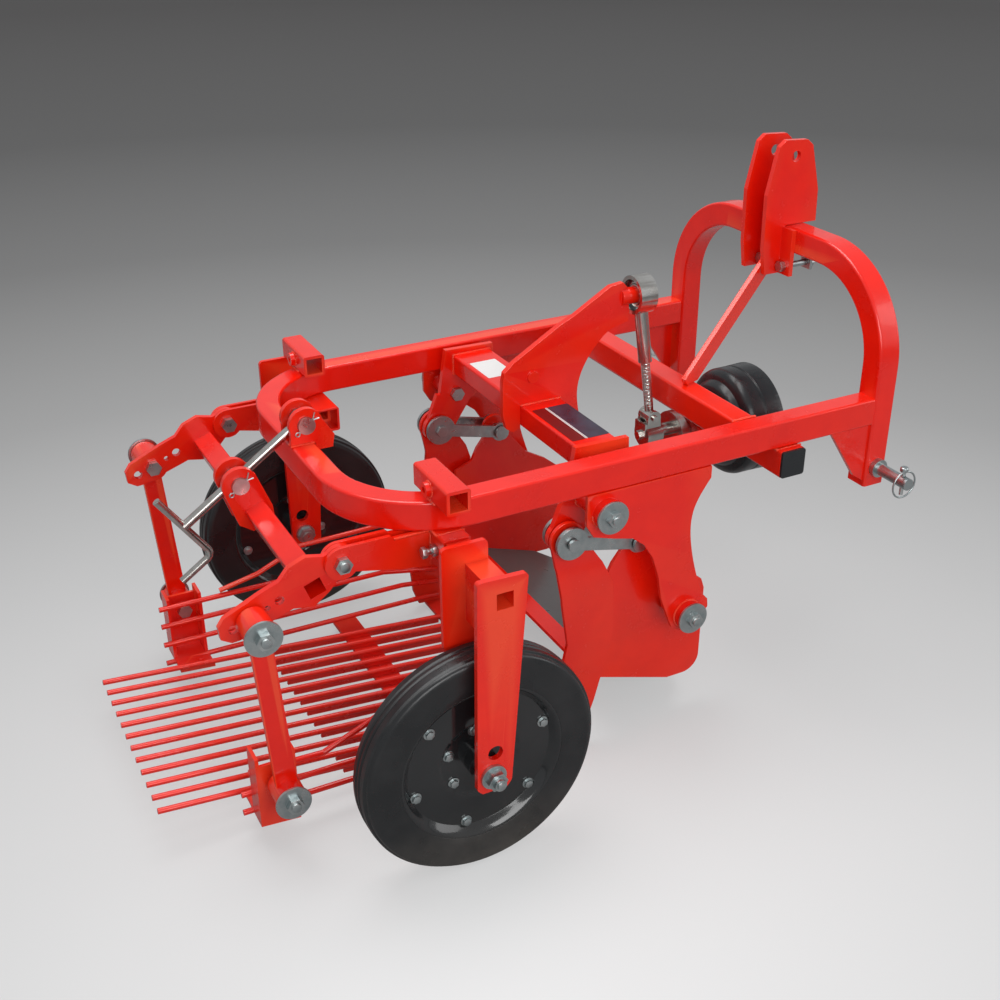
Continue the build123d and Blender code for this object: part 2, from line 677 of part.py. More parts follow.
# ================================================================ rocker
ROCKER_GAP = 26.0         # between the rocker's plates and the rails' inner faces
ROCKER_THICK = 11.0
ROCKER_OUT = -RAIL_WIDTH - ROCKER_GAP
ROCKER_IN = ROCKER_OUT - ROCKER_THICK
ROCKER_BOSS = -15.0       # outer end of the rocker's bosses, from the rail's outer face
with BuildPart() as rocker_tube:
    with BuildSketch(side(RAIL_OUT + ROCKER_IN)):
        with Locations((338, -28)):
            RectangleRounded(80, 40, CORNER)
            Rectangle(72, 32, mode=Mode.SUBTRACT)
    extrude(amount=2 * (RAIL_OUT + ROCKER_IN))
    for hand in (-1, 1):
        with BuildSketch(flank(hand, ROCKER_IN, ROCKER_OUT)):
            with BuildLine():
                Polyline((282, 4), (384, 2), (386, -40), (346, -96), (292, -130), (262, -126), (252, -116),
                         (268, -92), close=True)
            make_face()
            with Locations(ROCKER_PIVOT):
                Circle(34)
            with Locations(SIEVE_PIVOT):
                Circle(31)
            with BuildLine():
                Polyline((262, -84), (240, -140), (294, -164), (334, -104), close=True)
            make_face()
            with Locations(ROCKER_PIVOT, SIEVE_PIVOT):
                Circle(9, mode=Mode.SUBTRACT)
        extrude(amount=ROCKER_THICK)
        # spacer boss that reaches out under the rail to the side plate
        with BuildSketch(flank(hand, ROCKER_OUT, ROCKER_BOSS)):
            with Locations(ROCKER_PIVOT):
                Circle(20)
                Circle(9, mode=Mode.SUBTRACT)
        extrude(amount=ROCKER_BOSS - ROCKER_OUT)
save(rocker_tube, "rocker_tube")

LEVER_THICK = 12.0
LEVER_FAR = EYE_Y + LEVER_THICK / 2
STUD_R = 15.0
with BuildPart() as rocker_lever:
    with BuildSketch(side(LEVER_FAR)):
        with BuildLine():
            Polyline((503, 185), (477, 182), (404, 140), (375, 127), (284, 74), (266, 58), (263, 40),
                     (263, -20), (270, -48), (284, -58), (298, -50), (298, -8), (378, -8), (378, -46),
                     (418, -46))
            Spline((418, -46), (414, 4), (438, 62), (467, 94), (516, 112),
                   tangents=((-0.2, 1), (1, 0.22)))
            Polyline((516, 112), (518, 128), (511, 176), (503, 185))
        make_face()
    extrude(amount=LEVER_THICK)
    with BuildSketch(side(LEVER_FAR)):
        with Locations((322, 42)):
            Circle(11)
    extrude(amount=LEVER_THICK + 4)
    # stud on the lever's tip, along the machine, that goes through the ball of the rod's eye
    with BuildSketch(cross(500)):
        with Locations((EYE_Y, EYE[1])):
            Circle(STUD_R)
    extrude(amount=EYE[0] + 16 - 500)
save(rocker_lever, "rocker_lever")

with BuildPart() as rocker_pins:
    for hand in (-1, 1):
        pin(hand, ROCKER_PIVOT, 9, ROCKER_IN - 9, ROCKER_BOSS)
        pin(hand, ROCKER_PIVOT, 11, ROCKER_BOSS, 26)
        pin(hand, ROCKER_PIVOT, 29, 17, 21)
        with BuildSketch(flank(hand, 21, 31)):
            with Locations(ROCKER_PIVOT):
                RegularPolygon(14, 6)
        extrude(amount=10)
        with BuildSketch(flank(hand, ROCKER_IN - 11, ROCKER_IN)):
            with Locations(ROCKER_PIVOT):
                RegularPolygon(14, 6)
        extrude(amount=11)
        pin(hand, SIEVE_PIVOT, 9, ROCKER_IN - 15, ROCKER_OUT + 32)
        with BuildSketch(flank(hand, ROCKER_OUT + 31, ROCKER_OUT + 37)):
            with Locations(SIEVE_PIVOT):
                Circle(11)
        extrude(amount=6)
        with BuildSketch(flank(hand, ROCKER_IN - 20, ROCKER_IN - 12)):
            with Locations(SIEVE_PIVOT):
                RegularPolygon(12, 6)
        extrude(amount=8)
save(rocker_pins, "rocker_pins")

# ================================================================ drive rod
RING_R = 35.0
RING_HALF = 17.0
ROD_TOP = Vector(DATUM_X + EYE[0], DATUM_Y + EYE_Y, RAIL_TOP + EYE[1])
ROD_FOOT = Vector(DATUM_X + KNUCKLE[0], DATUM_Y + DRIVE_Y, RAIL_TOP + KNUCKLE[1])
with BuildPart() as drive_rod:
    with BuildSketch(cross(EYE[0] - RING_HALF)):
        with Locations((EYE_Y, EYE[1])):
            Circle(RING_R)
            Circle(STUD_R + 0.3, mode=Mode.SUBTRACT)
    extrude(amount=2 * RING_HALF)
    # recess round the ball on both faces of the eye
    for face in (EYE[0] - RING_HALF, EYE[0] + RING_HALF - 8):
        with BuildSketch(cross(face)):
            with Locations((EYE_Y, EYE[1])):
                Circle(28)
                Circle(STUD_R + 0.3, mode=Mode.SUBTRACT)
        extrude(amount=8, mode=Mode.SUBTRACT)
    # grease nipple on the left of the eye, in line with its ball
    with BuildSketch(side(EYE_Y + RING_R + 9)):
        with Locations(EYE):
            Circle(4)
    extrude(amount=12)
    down = (ROD_FOOT - ROD_TOP).normalized()
    # sleeve, lock nut and rod: (distance below the eye, radius, length)
    for below, radius, length in ((31, 12.5, 82), (113, 12.5, 14), (127, 8, 96)):
        with BuildSketch(Plane(origin=ROD_TOP + down * below, x_dir=(0, 1, 0), z_dir=down)):
            Circle(radius)
        extrude(amount=length)
    with BuildSketch(side(DRIVE_Y + 9)):
        with Locations(KNUCKLE):
            Circle(13)
    extrude(amount=18)
    with BuildSketch(side(DRIVE_Y + 20)):
        with Locations(KNUCKLE):
            Circle(6.05)
    extrude(amount=40, mode=Mode.SUBTRACT)
save(drive_rod, "drive_rod")

BIG_END = (KNUCKLE[0], SHAFT_Z + THROW)
with BuildPart() as drive_knuckle:
    with BuildSketch(cross(BIG_END[0] - 16)):
        with Locations((DRIVE_Y, BIG_END[1])):
            Circle(24)
    extrude(amount=34)
    with Locations(Location((DATUM_X + KNUCKLE[0], DATUM_Y + DRIVE_Y, RAIL_TOP + KNUCKLE[1]), (90, 0, 0))):
        Cylinder(14, 19, mode=Mode.SUBTRACT)
    # two cheeks, the web behind them and the pin across
    for y in (DRIVE_Y + 17, DRIVE_Y - 9.5):
        with BuildSketch(side(y)):
            with Locations(KNUCKLE):
                Circle(14)
            with BuildLine():
                Polyline((KNUCKLE[0] - 13, KNUCKLE[1]), (KNUCKLE[0] + 13, KNUCKLE[1]),
                         (BIG_END[0] + 17, BIG_END[1] - 4), (BIG_END[0] + 14, BIG_END[1] - 24),
                         (BIG_END[0] - 12, BIG_END[1] - 24), (BIG_END[0] - 18, BIG_END[1] + 4), close=True)
            make_face()
        extrude(amount=7.5)
    with BuildSketch(cross(BIG_END[0] - 20)):
        with Locations((DRIVE_Y, BIG_END[1] + 13)):
            Rectangle(34, 26)
    extrude(amount=4.5)
    with BuildSketch(side(DRIVE_Y + 22)):
        with Locations(KNUCKLE):
            Circle(6)
    extrude(amount=44)
    with BuildSketch(cross(BIG_END[0] - 26)):
        with Locations((DRIVE_Y, BIG_END[1])):
            RegularPolygon(9, 6)
    extrude(amount=12)
save(drive_knuckle, "drive_knuckle")

# ================================================================ links from the rocker to the share
LINK_LAYERS = ((ROCKER_IN - 11.5, ROCKER_IN - 4.5), (ROCKER_OUT + 22.0, ROCKER_OUT + 29.0))
for hand, name in ((-1, "right"), (1, "left")):
    with BuildPart() as links:
        for inner, outer in LINK_LAYERS:
            with BuildSketch(flank(hand, inner, outer)):
                bar_between(SIEVE_PIVOT, LINK_PIVOT, 24)
                with Locations(SIEVE_PIVOT):
                    Circle(29.5)
                with Locations(LINK_PIVOT):
                    Circle(19)
                with Locations(SIEVE_PIVOT):
                    Circle(9 + RUNNING, mode=Mode.SUBTRACT)
                with Locations(LINK_PIVOT):
                    Circle(8 + LOOSE, mode=Mode.SUBTRACT)
            extrude(amount=outer - inner)
    save(links, f"links_{name}")

# ================================================================ share: panels, blade and nose
PANEL_IN = ROCKER_OUT + 4.5
PANEL_OUT = PANEL_IN + 8.0
PANEL_Y = RAIL_OUT + PANEL_IN
with BuildPart() as share_panels:
    for hand in (-1, 1):
        with BuildSketch(flank(hand, PANEL_IN, PANEL_OUT)):
            with BuildLine():
                Polyline((372, -203), (354, -226), (342, -252), (306, -266), (306, -447), (484, -506),
                         (518, -506))
                TangentArc((518, -506), (552, -472), tangent=(1, 0))
                Polyline((552, -472), (553, -330), (546, -310), (514, -284), (468, -258), (421, -200),
                         (372, -203))
            make_face()
            with Locations(LINK_PIVOT):
                Circle(27)
            with Locations(SHARE_PIVOT):
                Circle(11 + RUNNING, mode=Mode.SUBTRACT)
            with Locations(LINK_PIVOT):
                Circle(8.05, mode=Mode.SUBTRACT)
        extrude(amount=PANEL_OUT - PANEL_IN)
    # flat bar that ties the panels together over the blade's rear edge
    with BuildSketch(side(PANEL_Y)):
        with Locations((333, -449)):
            Rectangle(34, 8)
    extrude(amount=2 * PANEL_Y)
save(share_panels, "share_panels")

BLADE_ROOT = (344.0, -463.0)
BLADE_TURN = math.degrees(math.atan(0.329))
with BuildPart() as share_blade:
    turn = math.radians(BLADE_TURN)
    blade_plane = Plane(origin=(DATUM_X + BLADE_ROOT[0], DATUM_Y, RAIL_TOP + BLADE_ROOT[1]),
                        x_dir=(math.cos(turn), 0, -math.sin(turn)), z_dir=(math.sin(turn), 0, math.cos(turn)))
    with BuildSketch(blade_plane):
        with BuildLine():
            Polyline((0, -PANEL_Y), (150, -PANEL_Y), (196, 46 - PANEL_Y), (262, -46), (262, 46),
                     (196, PANEL_Y - 46), (150, PANEL_Y), (0, PANEL_Y), close=True)
        make_face()
    extrude(amount=9)
    # nose that enters the ridge first, and stands on the floor when the digger is parked
    with BuildSketch(side(42)):
        with BuildLine():
            Polyline((520, -516), (586, -538), (648, 2 - RAIL_TOP), (648, -RAIL_TOP), (640, -RAIL_TOP),
                     (584, -550), (520, -533), close=True)
        make_face()
    extrude(amount=84)
save(share_blade, "share_blade")

with BuildPart() as link_pins:
    for hand in (-1, 1):
        pin(hand, LINK_PIVOT, 8, ROCKER_IN - 19, ROCKER_OUT + 35)
        with BuildSketch(flank(hand, ROCKER_OUT + 31, ROCKER_OUT + 37)):
            with Locations(LINK_PIVOT):
                Circle(14)
        extrude(amount=6)
        with BuildSketch(flank(hand, ROCKER_IN - 20, ROCKER_IN - 14)):
            with Locations(LINK_PIVOT):
                Circle(14)
        extrude(amount=6)
save(link_pins, "link_pins")

# ================================================================ sieve
# inner and outer face of the sieve's arms, from the rail's outer face: above and below their crank
ARM_TOP = (ROCKER_OUT + 5.0, ROCKER_OUT + 13.0)
ARM_LOW = (ROCKER_OUT + 22.0, ROCKER_OUT + 30.0)
fall = math.atan(ROD_FALL)


def rod_low(x):
    """Height of the rods' underside at a distance forward of the datum."""
    return ROD_TIP[1] - ROD_FALL * (x - ROD_TIP[0]) - ROD_R / math.cos(fall)


rod_plane = Plane(origin=(DATUM_X + ROD_TIP[0], DATUM_Y, RAIL_TOP + ROD_TIP[1]), x_dir=(0, 1, 0),
                  z_dir=(math.cos(fall), 0, -math.sin(fall)))
ROD_LENGTH = (SIEVE_FRONT - ROD_TIP[0]) / math.cos(fall)
STRIP_START = 318.0
STRIP = (5.0, 13.0)       # width and depth of the strip under each rod
rod_rows = [ROD_PITCH * (n - (ROD_COUNT - 1) / 2) for n in range(ROD_COUNT)]
with BuildPart() as sieve_grid:
    with BuildSketch(rod_plane):
        for y in rod_rows:
            with Locations((y, 0)):
                Circle(ROD_R)
    extrude(amount=ROD_LENGTH)
    with BuildSketch(rod_plane.offset(STRIP_START)):
        for y in rod_rows:
            with Locations((y, -STRIP[1] / 2)):
                Rectangle(*STRIP)
    extrude(amount=ROD_LENGTH - 54 - STRIP_START)
    # cross bars: (distance from the rods' tips, depth under the rods)
    for start, depth in ((480.0, STRIP[1] + 2), (ROD_LENGTH - 50.0, 7)):
        with BuildSketch(rod_plane.offset(start)):
            with Locations((0, -depth)):
                Rectangle(2 * (RAIL_OUT + ARM_LOW[0]), 6)
        extrude(amount=50)
save(sieve_grid, "sieve_grid")



def sieve_arm(hand, name):
    """Plate from the rocker down to the front of the sieve, cranked outward on its way."""
    with BuildPart() as arm:
        with BuildSketch(flank(hand, ROCKER_OUT - 12, ROCKER_OUT + 48)):
            with BuildLine():
                Polyline((232, -160), (243, -213), (246, -271), (258, -353), (240, -440), (206, -492),
                         (210, -535), (222, -568), (286, -573), (316, -486), (350, -360), (347, -250),
                         (332, -214), (296, -160), close=True)
            make_face()
            with Locations(SIEVE_PIVOT):
                Circle(33)
        extrude(amount=60)
        section = ((ARM_TOP[0], -110), (ARM_TOP[0], -205), (ARM_LOW[0], -262), (ARM_LOW[0], -600),
                   (ARM_LOW[1], -600), (ARM_LOW[1], -260), (ARM_TOP[1], -203), (ARM_TOP[1], -110))
        with BuildSketch(cross(200)):
            with BuildLine():
                Polyline(*[(hand * (RAIL_OUT + y), z) for y, z in section], close=True)
            make_face()
        extrude(amount=180, mode=Mode.INTERSECT)
        with BuildSketch(flank(hand, ROCKER_OUT - 12, ROCKER_OUT + 48)):
            with Locations(SIEVE_PIVOT):
                Circle(9 + RUNNING)
        extrude(amount=60, mode=Mode.SUBTRACT)
    save(arm, f"sieve_arm_{name}")


for arm_hand, arm_name in ((-1, "right"), (1, "left")):
    sieve_arm(arm_hand, arm_name)

FENCE_OUT = -80.0         # middle of the fences' rods, from the rail's outer face
CHANNEL_OUT = -35.0       # outer face of the channels
FENCE_FLARE = ARM_LOW[0] - ROD_R     # where the rods lie against the inside of the arms
# rods of each fence as (x, z) points; their last stretch goes out to the arm
FENCE_RODS = {
    -1: (((-306, -446), (-180, -452), (-112, -425), (-46, -396), (110, -396), (262, -446)),
         ((-322, -486), (170, -490), (262, -520)),
         ((-322, -522), (195, -530), (262, -552))),
    1: (((-322, -404), (100, -409), (262, -461)),
        ((-322, -442), (130, -447), (262, -490)),
        ((-322, -483), (170, -489), (262, -519)),
        ((-322, -524), (195, -531), (262, -553))),
}
CHANNEL = (-306.0, -240.0)
FOOT_IN = -124.0          # inner edge of the channels' feet, under the outermost grid rod
CHANNEL_TOP = -405.0
FLANGE_TOP = -390.0
with BuildPart() as sieve_fences:
    for hand, rods in FENCE_RODS.items():
        for points in rods:
            line = [(x, hand * (RAIL_OUT + FENCE_OUT), z) for x, z in points[:-1]]
            round_bar(line + [(points[-1][0], hand * (RAIL_OUT + FENCE_FLARE), points[-1][1])], ROD_R)
        # channel that stands on the rods' outer side, and carries the hanger's bolt
        for x in (CHANNEL[0], CHANNEL[1] - 6):
            with BuildSketch(flank(hand, FENCE_OUT + 3, CHANNEL_OUT)):
                with BuildLine():
                    Polyline((x, FLANGE_TOP), (x + 6, FLANGE_TOP), (x + 6, rod_low(x + 6) - 3),
                             (x, rod_low(x) - 3), close=True)
                make_face()
            extrude(amount=CHANNEL_OUT - FENCE_OUT - 3)
        with BuildSketch(flank(hand, CHANNEL_OUT - 6, CHANNEL_OUT)):
            with BuildLine():
                Polyline((CHANNEL[0], CHANNEL_TOP), (CHANNEL[1], CHANNEL_TOP),
                         (CHANNEL[1], rod_low(CHANNEL[1]) - 3), (CHANNEL[0], rod_low(CHANNEL[0]) - 3),
                         close=True)
            make_face()
            with Locations(HANGER_LOW):
                Circle(9.05, mode=Mode.SUBTRACT)
        extrude(amount=6)
        with BuildSketch(flank(hand, FOOT_IN, CHANNEL_OUT)):
            with BuildLine():
                Polyline((CHANNEL[0], rod_low(CHANNEL[0])), (CHANNEL[1], rod_low(CHANNEL[1])),
                         (CHANNEL[1], rod_low(CHANNEL[1]) - 6), (CHANNEL[0], rod_low(CHANNEL[0]) - 6),
                         close=True)
            make_face()
        extrude(amount=CHANNEL_OUT - FOOT_IN)
save(sieve_fences, "sieve_fences")

# bolt, spacer, washer and nuts in each hanger's lower eye
with BuildPart() as hanger_bolts:
    for hand in (-1, 1):
        pin(hand, HANGER_LOW, 9, -52, 32)
        pin(hand, HANGER_LOW, 16, -35, -28)
        pin(hand, HANGER_LOW, 29, 27, 31)
        with BuildSketch(flank(hand, 31, 41)):
            with Locations(HANGER_LOW):
                RegularPolygon(14, 6)
        extrude(amount=10)
        with BuildSketch(flank(hand, -52, -41)):
            with Locations(HANGER_LOW):
                RegularPolygon(14, 6)
        extrude(amount=11)
save(hanger_bolts, "hanger_bolts")

# ================================================================ hangers of the sieve
for hand, name in ((-1, "right"), (1, "left")):
    with BuildPart() as hanger:
        with BuildSketch(flank(hand, -5, 5)):
            bar_between(HANGER_TOP, HANGER_LOW, 34)
        extrude(amount=10)
        with BuildSketch(flank(hand, -24, 24)):
            with Locations(HANGER_TOP, HANGER_LOW):
                Circle(25)
        extrude(amount=48)
        with BuildSketch(flank(hand, -30, 30)):
            with Locations(HANGER_TOP):
                Circle(9 + RUNNING)
            with Locations(HANGER_LOW):
                Circle(9 + LOOSE)
        extrude(amount=60, mode=Mode.SUBTRACT)
    save(hanger, f"hanger_{name}")
print("built")
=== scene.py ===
# %% [markdown]
# # Dressing a shaken potato digger
# The digger is a small machine that hangs behind a tractor: a share lifts the
# ridge, a rod sieve shakes the soil out, and two wheels set the depth. Its
# solids come in as a fixed frame. This lesson gives them paint, plating,
# rubber and the small parts that welders and fitters add.

# %% Load the fixed frame
import json
import math
import bpy
import bmesh
from mathutils import Matrix, Vector


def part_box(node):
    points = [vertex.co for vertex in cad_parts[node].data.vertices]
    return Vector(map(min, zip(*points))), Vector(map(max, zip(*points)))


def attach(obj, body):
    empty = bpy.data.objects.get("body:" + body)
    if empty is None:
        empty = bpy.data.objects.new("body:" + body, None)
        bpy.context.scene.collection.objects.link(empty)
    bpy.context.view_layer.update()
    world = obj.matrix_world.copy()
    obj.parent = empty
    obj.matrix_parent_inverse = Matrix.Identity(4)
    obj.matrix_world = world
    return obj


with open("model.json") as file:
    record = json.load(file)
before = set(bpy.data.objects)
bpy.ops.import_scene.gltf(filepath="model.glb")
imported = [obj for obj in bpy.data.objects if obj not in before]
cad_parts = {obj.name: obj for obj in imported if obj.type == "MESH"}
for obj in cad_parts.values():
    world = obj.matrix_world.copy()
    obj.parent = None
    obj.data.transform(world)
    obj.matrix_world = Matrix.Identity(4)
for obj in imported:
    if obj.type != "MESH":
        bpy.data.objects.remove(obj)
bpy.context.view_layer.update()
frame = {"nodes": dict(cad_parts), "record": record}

print("nodes:", len(frame["nodes"]))

# %% [markdown]
# ## One datum for every piece
# A fitter measures from an edge that is easy to find. Here that is the top of
# the side rails, on the centre plane, at the rear of the two tube stubs. The
# rails' own box gives it, so each later number is a workshop size in
# millimetres: forward, left and up from that point.

# %% The datum
MM = 0.001
RAIL_FRONT = 853.0
rail_low, rail_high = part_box("side_rails")
DATUM = Vector((rail_high.x - RAIL_FRONT * MM, (rail_low.y + rail_high.y) / 2, rail_high.z))


def at(x, y, z):
    """A point of the machine, given in millimetres from the datum."""
    return DATUM + Vector((x, y, z)) * MM


print("datum (m):", [round(v, 4) for v in DATUM])

# %% [markdown]
# ## The camera
# A lens of normal length, a little above the rear corner, shows the sieve, the
# near wheel and the hitch together. The camera is made first, because every
# later choice is judged through it. Its axes are built from a heading and a
# tilt, as on a tripod head.

# %% Camera
HEADING = math.radians(-27.35)
TILT = math.radians(27.69)
ROLL = math.radians(-0.26)
forward = Vector((-math.sin(HEADING) * math.cos(TILT), math.cos(HEADING) * math.cos(TILT), -math.sin(TILT)))
right = forward.cross(Vector((0, 0, 1))).normalized()
up = right.cross(forward)
right, up = (right * math.cos(ROLL) + up * math.sin(ROLL), up * math.cos(ROLL) - right * math.sin(ROLL))

lens = bpy.data.cameras.new("camera")
lens.sensor_width = 36
lens.lens = 46.88
camera = bpy.data.objects.new("camera", lens)
bpy.context.collection.objects.link(camera)
camera.matrix_world = Matrix((
    (right.x, up.x, -forward.x, 0),
    (right.y, up.y, -forward.y, 0),
    (right.z, up.z, -forward.z, 0),
    (0, 0, 0, 1),
))
camera.location = at(-702.8, -1888.3, 910.2)
bpy.context.scene.camera = camera
print("camera at", [round(v, 3) for v in camera.location])

# %% [markdown]
# ## Node helpers
# A material is a small circuit. Helpers keep its wiring short: one adds a node
# and sets its plain values, one joins two sockets, and two start an empty
# shader group or shape tree with its named sockets.

# %% Node helpers


def add_node(tree, kind, **values):
    """Add a node; a key that names a socket sets it, any other key is a property."""
    node = tree.nodes.new(kind)
    for key, value in values.items():
        name = key.replace("_", " ")
        sockets = [s for s in node.inputs if s.name.lower() == name.lower()]
        if sockets:
            sockets[0].default_value = value
        else:
            setattr(node, key, value)
    return node


def join(tree, source, target):
    tree.links.new(source, target)


def shader_group(name, inputs, outputs):
    """An empty shader group with named sockets; returns it with its two end nodes."""
    group = bpy.data.node_groups.new(name, "ShaderNodeTree")
    for label, kind, value in inputs:
        socket = group.interface.new_socket(label, in_out="INPUT", socket_type=kind)
        socket.default_value = value
    for label, kind in outputs:
        group.interface.new_socket(label, in_out="OUTPUT", socket_type=kind)
    start = group.nodes.new("NodeGroupInput")
    end = group.nodes.new("NodeGroupOutput")
    return group, start, end


def shape_tree(name, inputs):
    """An empty Geometry Nodes tree; returns it, its end nodes and its inputs by label."""
    tree = bpy.data.node_groups.new(name, "GeometryNodeTree")
    tree.interface.new_socket("Geometry", in_out="INPUT", socket_type="NodeSocketGeometry")
    sockets = {label: tree.interface.new_socket(label, in_out="INPUT", socket_type=kind) for label, kind in inputs}
    tree.interface.new_socket("Geometry", in_out="OUTPUT", socket_type="NodeSocketGeometry")
    return tree, tree.nodes.new("NodeGroupInput"), tree.nodes.new("NodeGroupOutput"), sockets


FLOAT = "NodeSocketFloat"
COLOR = "NodeSocketColor"

# %% [markdown]
# ## Floor, backdrop and light
# Metal and enamel are judged by what they mirror, so the studio comes before
# the finishes. One large pale floor runs to the horizon, and a pool of light is
# painted on it, brightest near the machine and partly glowing to the lens. A
# broad lamp over the machine, one by the camera and a weak one at the side light
# it evenly, as soft boxes do.

# %% Floor
bpy.ops.mesh.primitive_plane_add(size=80)
floor = bpy.context.object
floor.name = "floor"
PAINTED_POOL_CENTRE = (-0.35, -0.75)  # centre of the painted pool of light, in metres
PAINTED_POOL_REACH = 12.0  # the painted pool of light fades out over this many metres
# a painted pool of light: bright at its centre and darker outwards, at these shares of the reach
PAINTED_POOL_TONES = ((0.0, 0.80), (0.10, 0.60), (0.20, 0.36), (0.32, 0.22), (0.50, 0.14), (0.95, 0.10))
PAINTED_GLOW_SHARE = 0.62  # share of the painted pool of light that the floor emits to the lens
LIT_SHARE = 0.40  # share of the painted pool of light kept as the floor's colour, for the lamps to light
MIRRORED_TONE = 0.30  # plain floor in the paint's reflections
floor_mat = bpy.data.materials.new("studio_floor")
floor_mat.use_nodes = True
tree = floor_mat.node_tree
tree.nodes.clear()
place = add_node(tree, "ShaderNodeTexCoord")
centre = add_node(tree, "ShaderNodeMapping")
centre.inputs["Location"].default_value = (-PAINTED_POOL_CENTRE[0], -PAINTED_POOL_CENTRE[1], 0)
distance = add_node(tree, "ShaderNodeVectorMath", operation="LENGTH")
ramp = add_node(tree, "ShaderNodeValToRGB")
shrink = add_node(tree, "ShaderNodeMath", operation="MULTIPLY")
shrink.inputs[1].default_value = 1 / PAINTED_POOL_REACH
ramp.color_ramp.elements[0].position, tone = PAINTED_POOL_TONES[0]
ramp.color_ramp.elements[0].color = (tone, tone, tone, 1)
ramp.color_ramp.elements[1].position, tone = PAINTED_POOL_TONES[-1]
ramp.color_ramp.elements[1].color = (tone, tone * 0.98, tone * 0.98, 1)
for position, tone in PAINTED_POOL_TONES[1:-1]:
    middle = ramp.color_ramp.elements.new(position)
    middle.color = (tone, tone, tone, 1)
# the lens sees a painted pool of light on the floor, part of it glowing and part of it lit by the lamps with a weak
# shadow, and the paint mirrors a plain grey floor
seen = add_node(tree, "ShaderNodeLightPath")
plain = add_node(tree, "ShaderNodeMix", data_type="RGBA")
plain.inputs["A"].default_value = (MIRRORED_TONE, MIRRORED_TONE, MIRRORED_TONE, 1)
pool_glow = add_node(tree, "ShaderNodeMath", operation="MULTIPLY")
pool_glow.inputs[1].default_value = PAINTED_GLOW_SHARE
surface = add_node(tree, "ShaderNodeBsdfPrincipled", Roughness=0.9)
surface.inputs["Specular IOR Level"].default_value = 0.1
dim = add_node(tree, "ShaderNodeMix", data_type="RGBA", blend_type="MULTIPLY")
dim.inputs["Factor"].default_value = 1.0
dim.inputs["B"].default_value = (LIT_SHARE, LIT_SHARE, LIT_SHARE, 1)
end = add_node(tree, "ShaderNodeOutputMaterial")
join(tree, place.outputs["Object"], centre.inputs["Vector"])
join(tree, centre.outputs["Vector"], distance.inputs[0])
join(tree, distance.outputs["Value"], shrink.inputs[0])
join(tree, shrink.outputs["Value"], ramp.inputs["Fac"])
join(tree, ramp.outputs["Color"], dim.inputs["A"])
join(tree, dim.outputs["Result"], plain.inputs["B"])
join(tree, seen.outputs["Is Camera Ray"], plain.inputs["Factor"])
join(tree, plain.outputs["Result"], surface.inputs["Base Color"])
join(tree, ramp.outputs["Color"], surface.inputs["Emission Color"])
join(tree, seen.outputs["Is Camera Ray"], pool_glow.inputs[0])
join(tree, pool_glow.outputs["Value"], surface.inputs["Emission Strength"])
join(tree, surface.outputs["BSDF"], end.inputs["Surface"])
floor.data.materials.append(floor_mat)
print("floor ready")

# %% Lamps and sky


def soft_box(name, place, aim, size, power):
    """A square area lamp at one point, facing another."""
    lamp = bpy.data.lights.new(name, "AREA")
    lamp.shape = "RECTANGLE"
    lamp.size, lamp.size_y = size
    lamp.energy = power
    stand = bpy.data.objects.new(name, lamp)
    bpy.context.collection.objects.link(stand)
    stand.location = place
    stand.rotation_euler = (Vector(aim) - Vector(place)).to_track_quat("-Z", "Y").to_euler()


soft_box("top_box", (-0.2, 0.5, 3.2), (0, 0, 0.4), (2.6, 1.6), 60)
soft_box("camera_box", (-0.6, -3.4, 1.9), (0, 0, 0.3), (2.4, 1.8), 62)
soft_box("side_box", (3.0, -1.6, 1.5), (0, 0, 0.4), (1.6, 1.8), 16)

sky = bpy.data.worlds.new("studio")
bpy.context.scene.world = sky
sky.use_nodes = True
sky.node_tree.nodes["Background"].inputs["Color"].default_value = (0.80, 0.81, 0.83, 1)
sky.node_tree.nodes["Background"].inputs["Strength"].default_value = 0.55
bpy.context.scene.view_settings.view_transform = "Standard"

# %% [markdown]
# ## Shared surface effects
# Two effects turn up on nearly every surface, so each is a group with named
# inputs. `fine_grain` gives a slow mottling of the colour and the gloss, and a
# height for a bump. `edge_sheen_and_dust` paints a highlight as a pale line along
# sharp edges, and lays the film of dust that settles low down.

# %% The fine grain group
grain_group, start, end = shader_group(
    "fine_grain",
    [("Color", COLOR, (0.5, 0.5, 0.5, 1)), ("Tint", COLOR, (0.4, 0.4, 0.4, 1)), ("Mottle Scale", FLOAT, 12.0),
     ("Grain Scale", FLOAT, 900.0), ("Gloss Low", FLOAT, 0.2), ("Gloss High", FLOAT, 0.3)],
    [("Color", COLOR), ("Roughness", FLOAT), ("Height", FLOAT)])
where = add_node(grain_group, "ShaderNodeTexCoord")
mottle = add_node(grain_group, "ShaderNodeTexNoise", Detail=5.0, Roughness=0.6)
grain = add_node(grain_group, "ShaderNodeTexNoise", Detail=2.0, Roughness=0.5)
paint = add_node(grain_group, "ShaderNodeMix", data_type="RGBA")
gloss = add_node(grain_group, "ShaderNodeMapRange")
gloss.inputs["From Min"].default_value = 0.3
gloss.inputs["From Max"].default_value = 0.7
blend = add_node(grain_group, "ShaderNodeMapRange")
blend.inputs["From Min"].default_value = 0.35
blend.inputs["From Max"].default_value = 0.7
for noise, label in ((mottle, "Mottle Scale"), (grain, "Grain Scale")):
    join(grain_group, where.outputs["Object"], noise.inputs["Vector"])
    join(grain_group, start.outputs[label], noise.inputs["Scale"])
join(grain_group, mottle.outputs["Fac"], blend.inputs["Value"])
join(grain_group, blend.outputs["Result"], paint.inputs["Factor"])
join(grain_group, start.outputs["Color"], paint.inputs["A"])
join(grain_group, start.outputs["Tint"], paint.inputs["B"])
join(grain_group, mottle.outputs["Fac"], gloss.inputs["Value"])
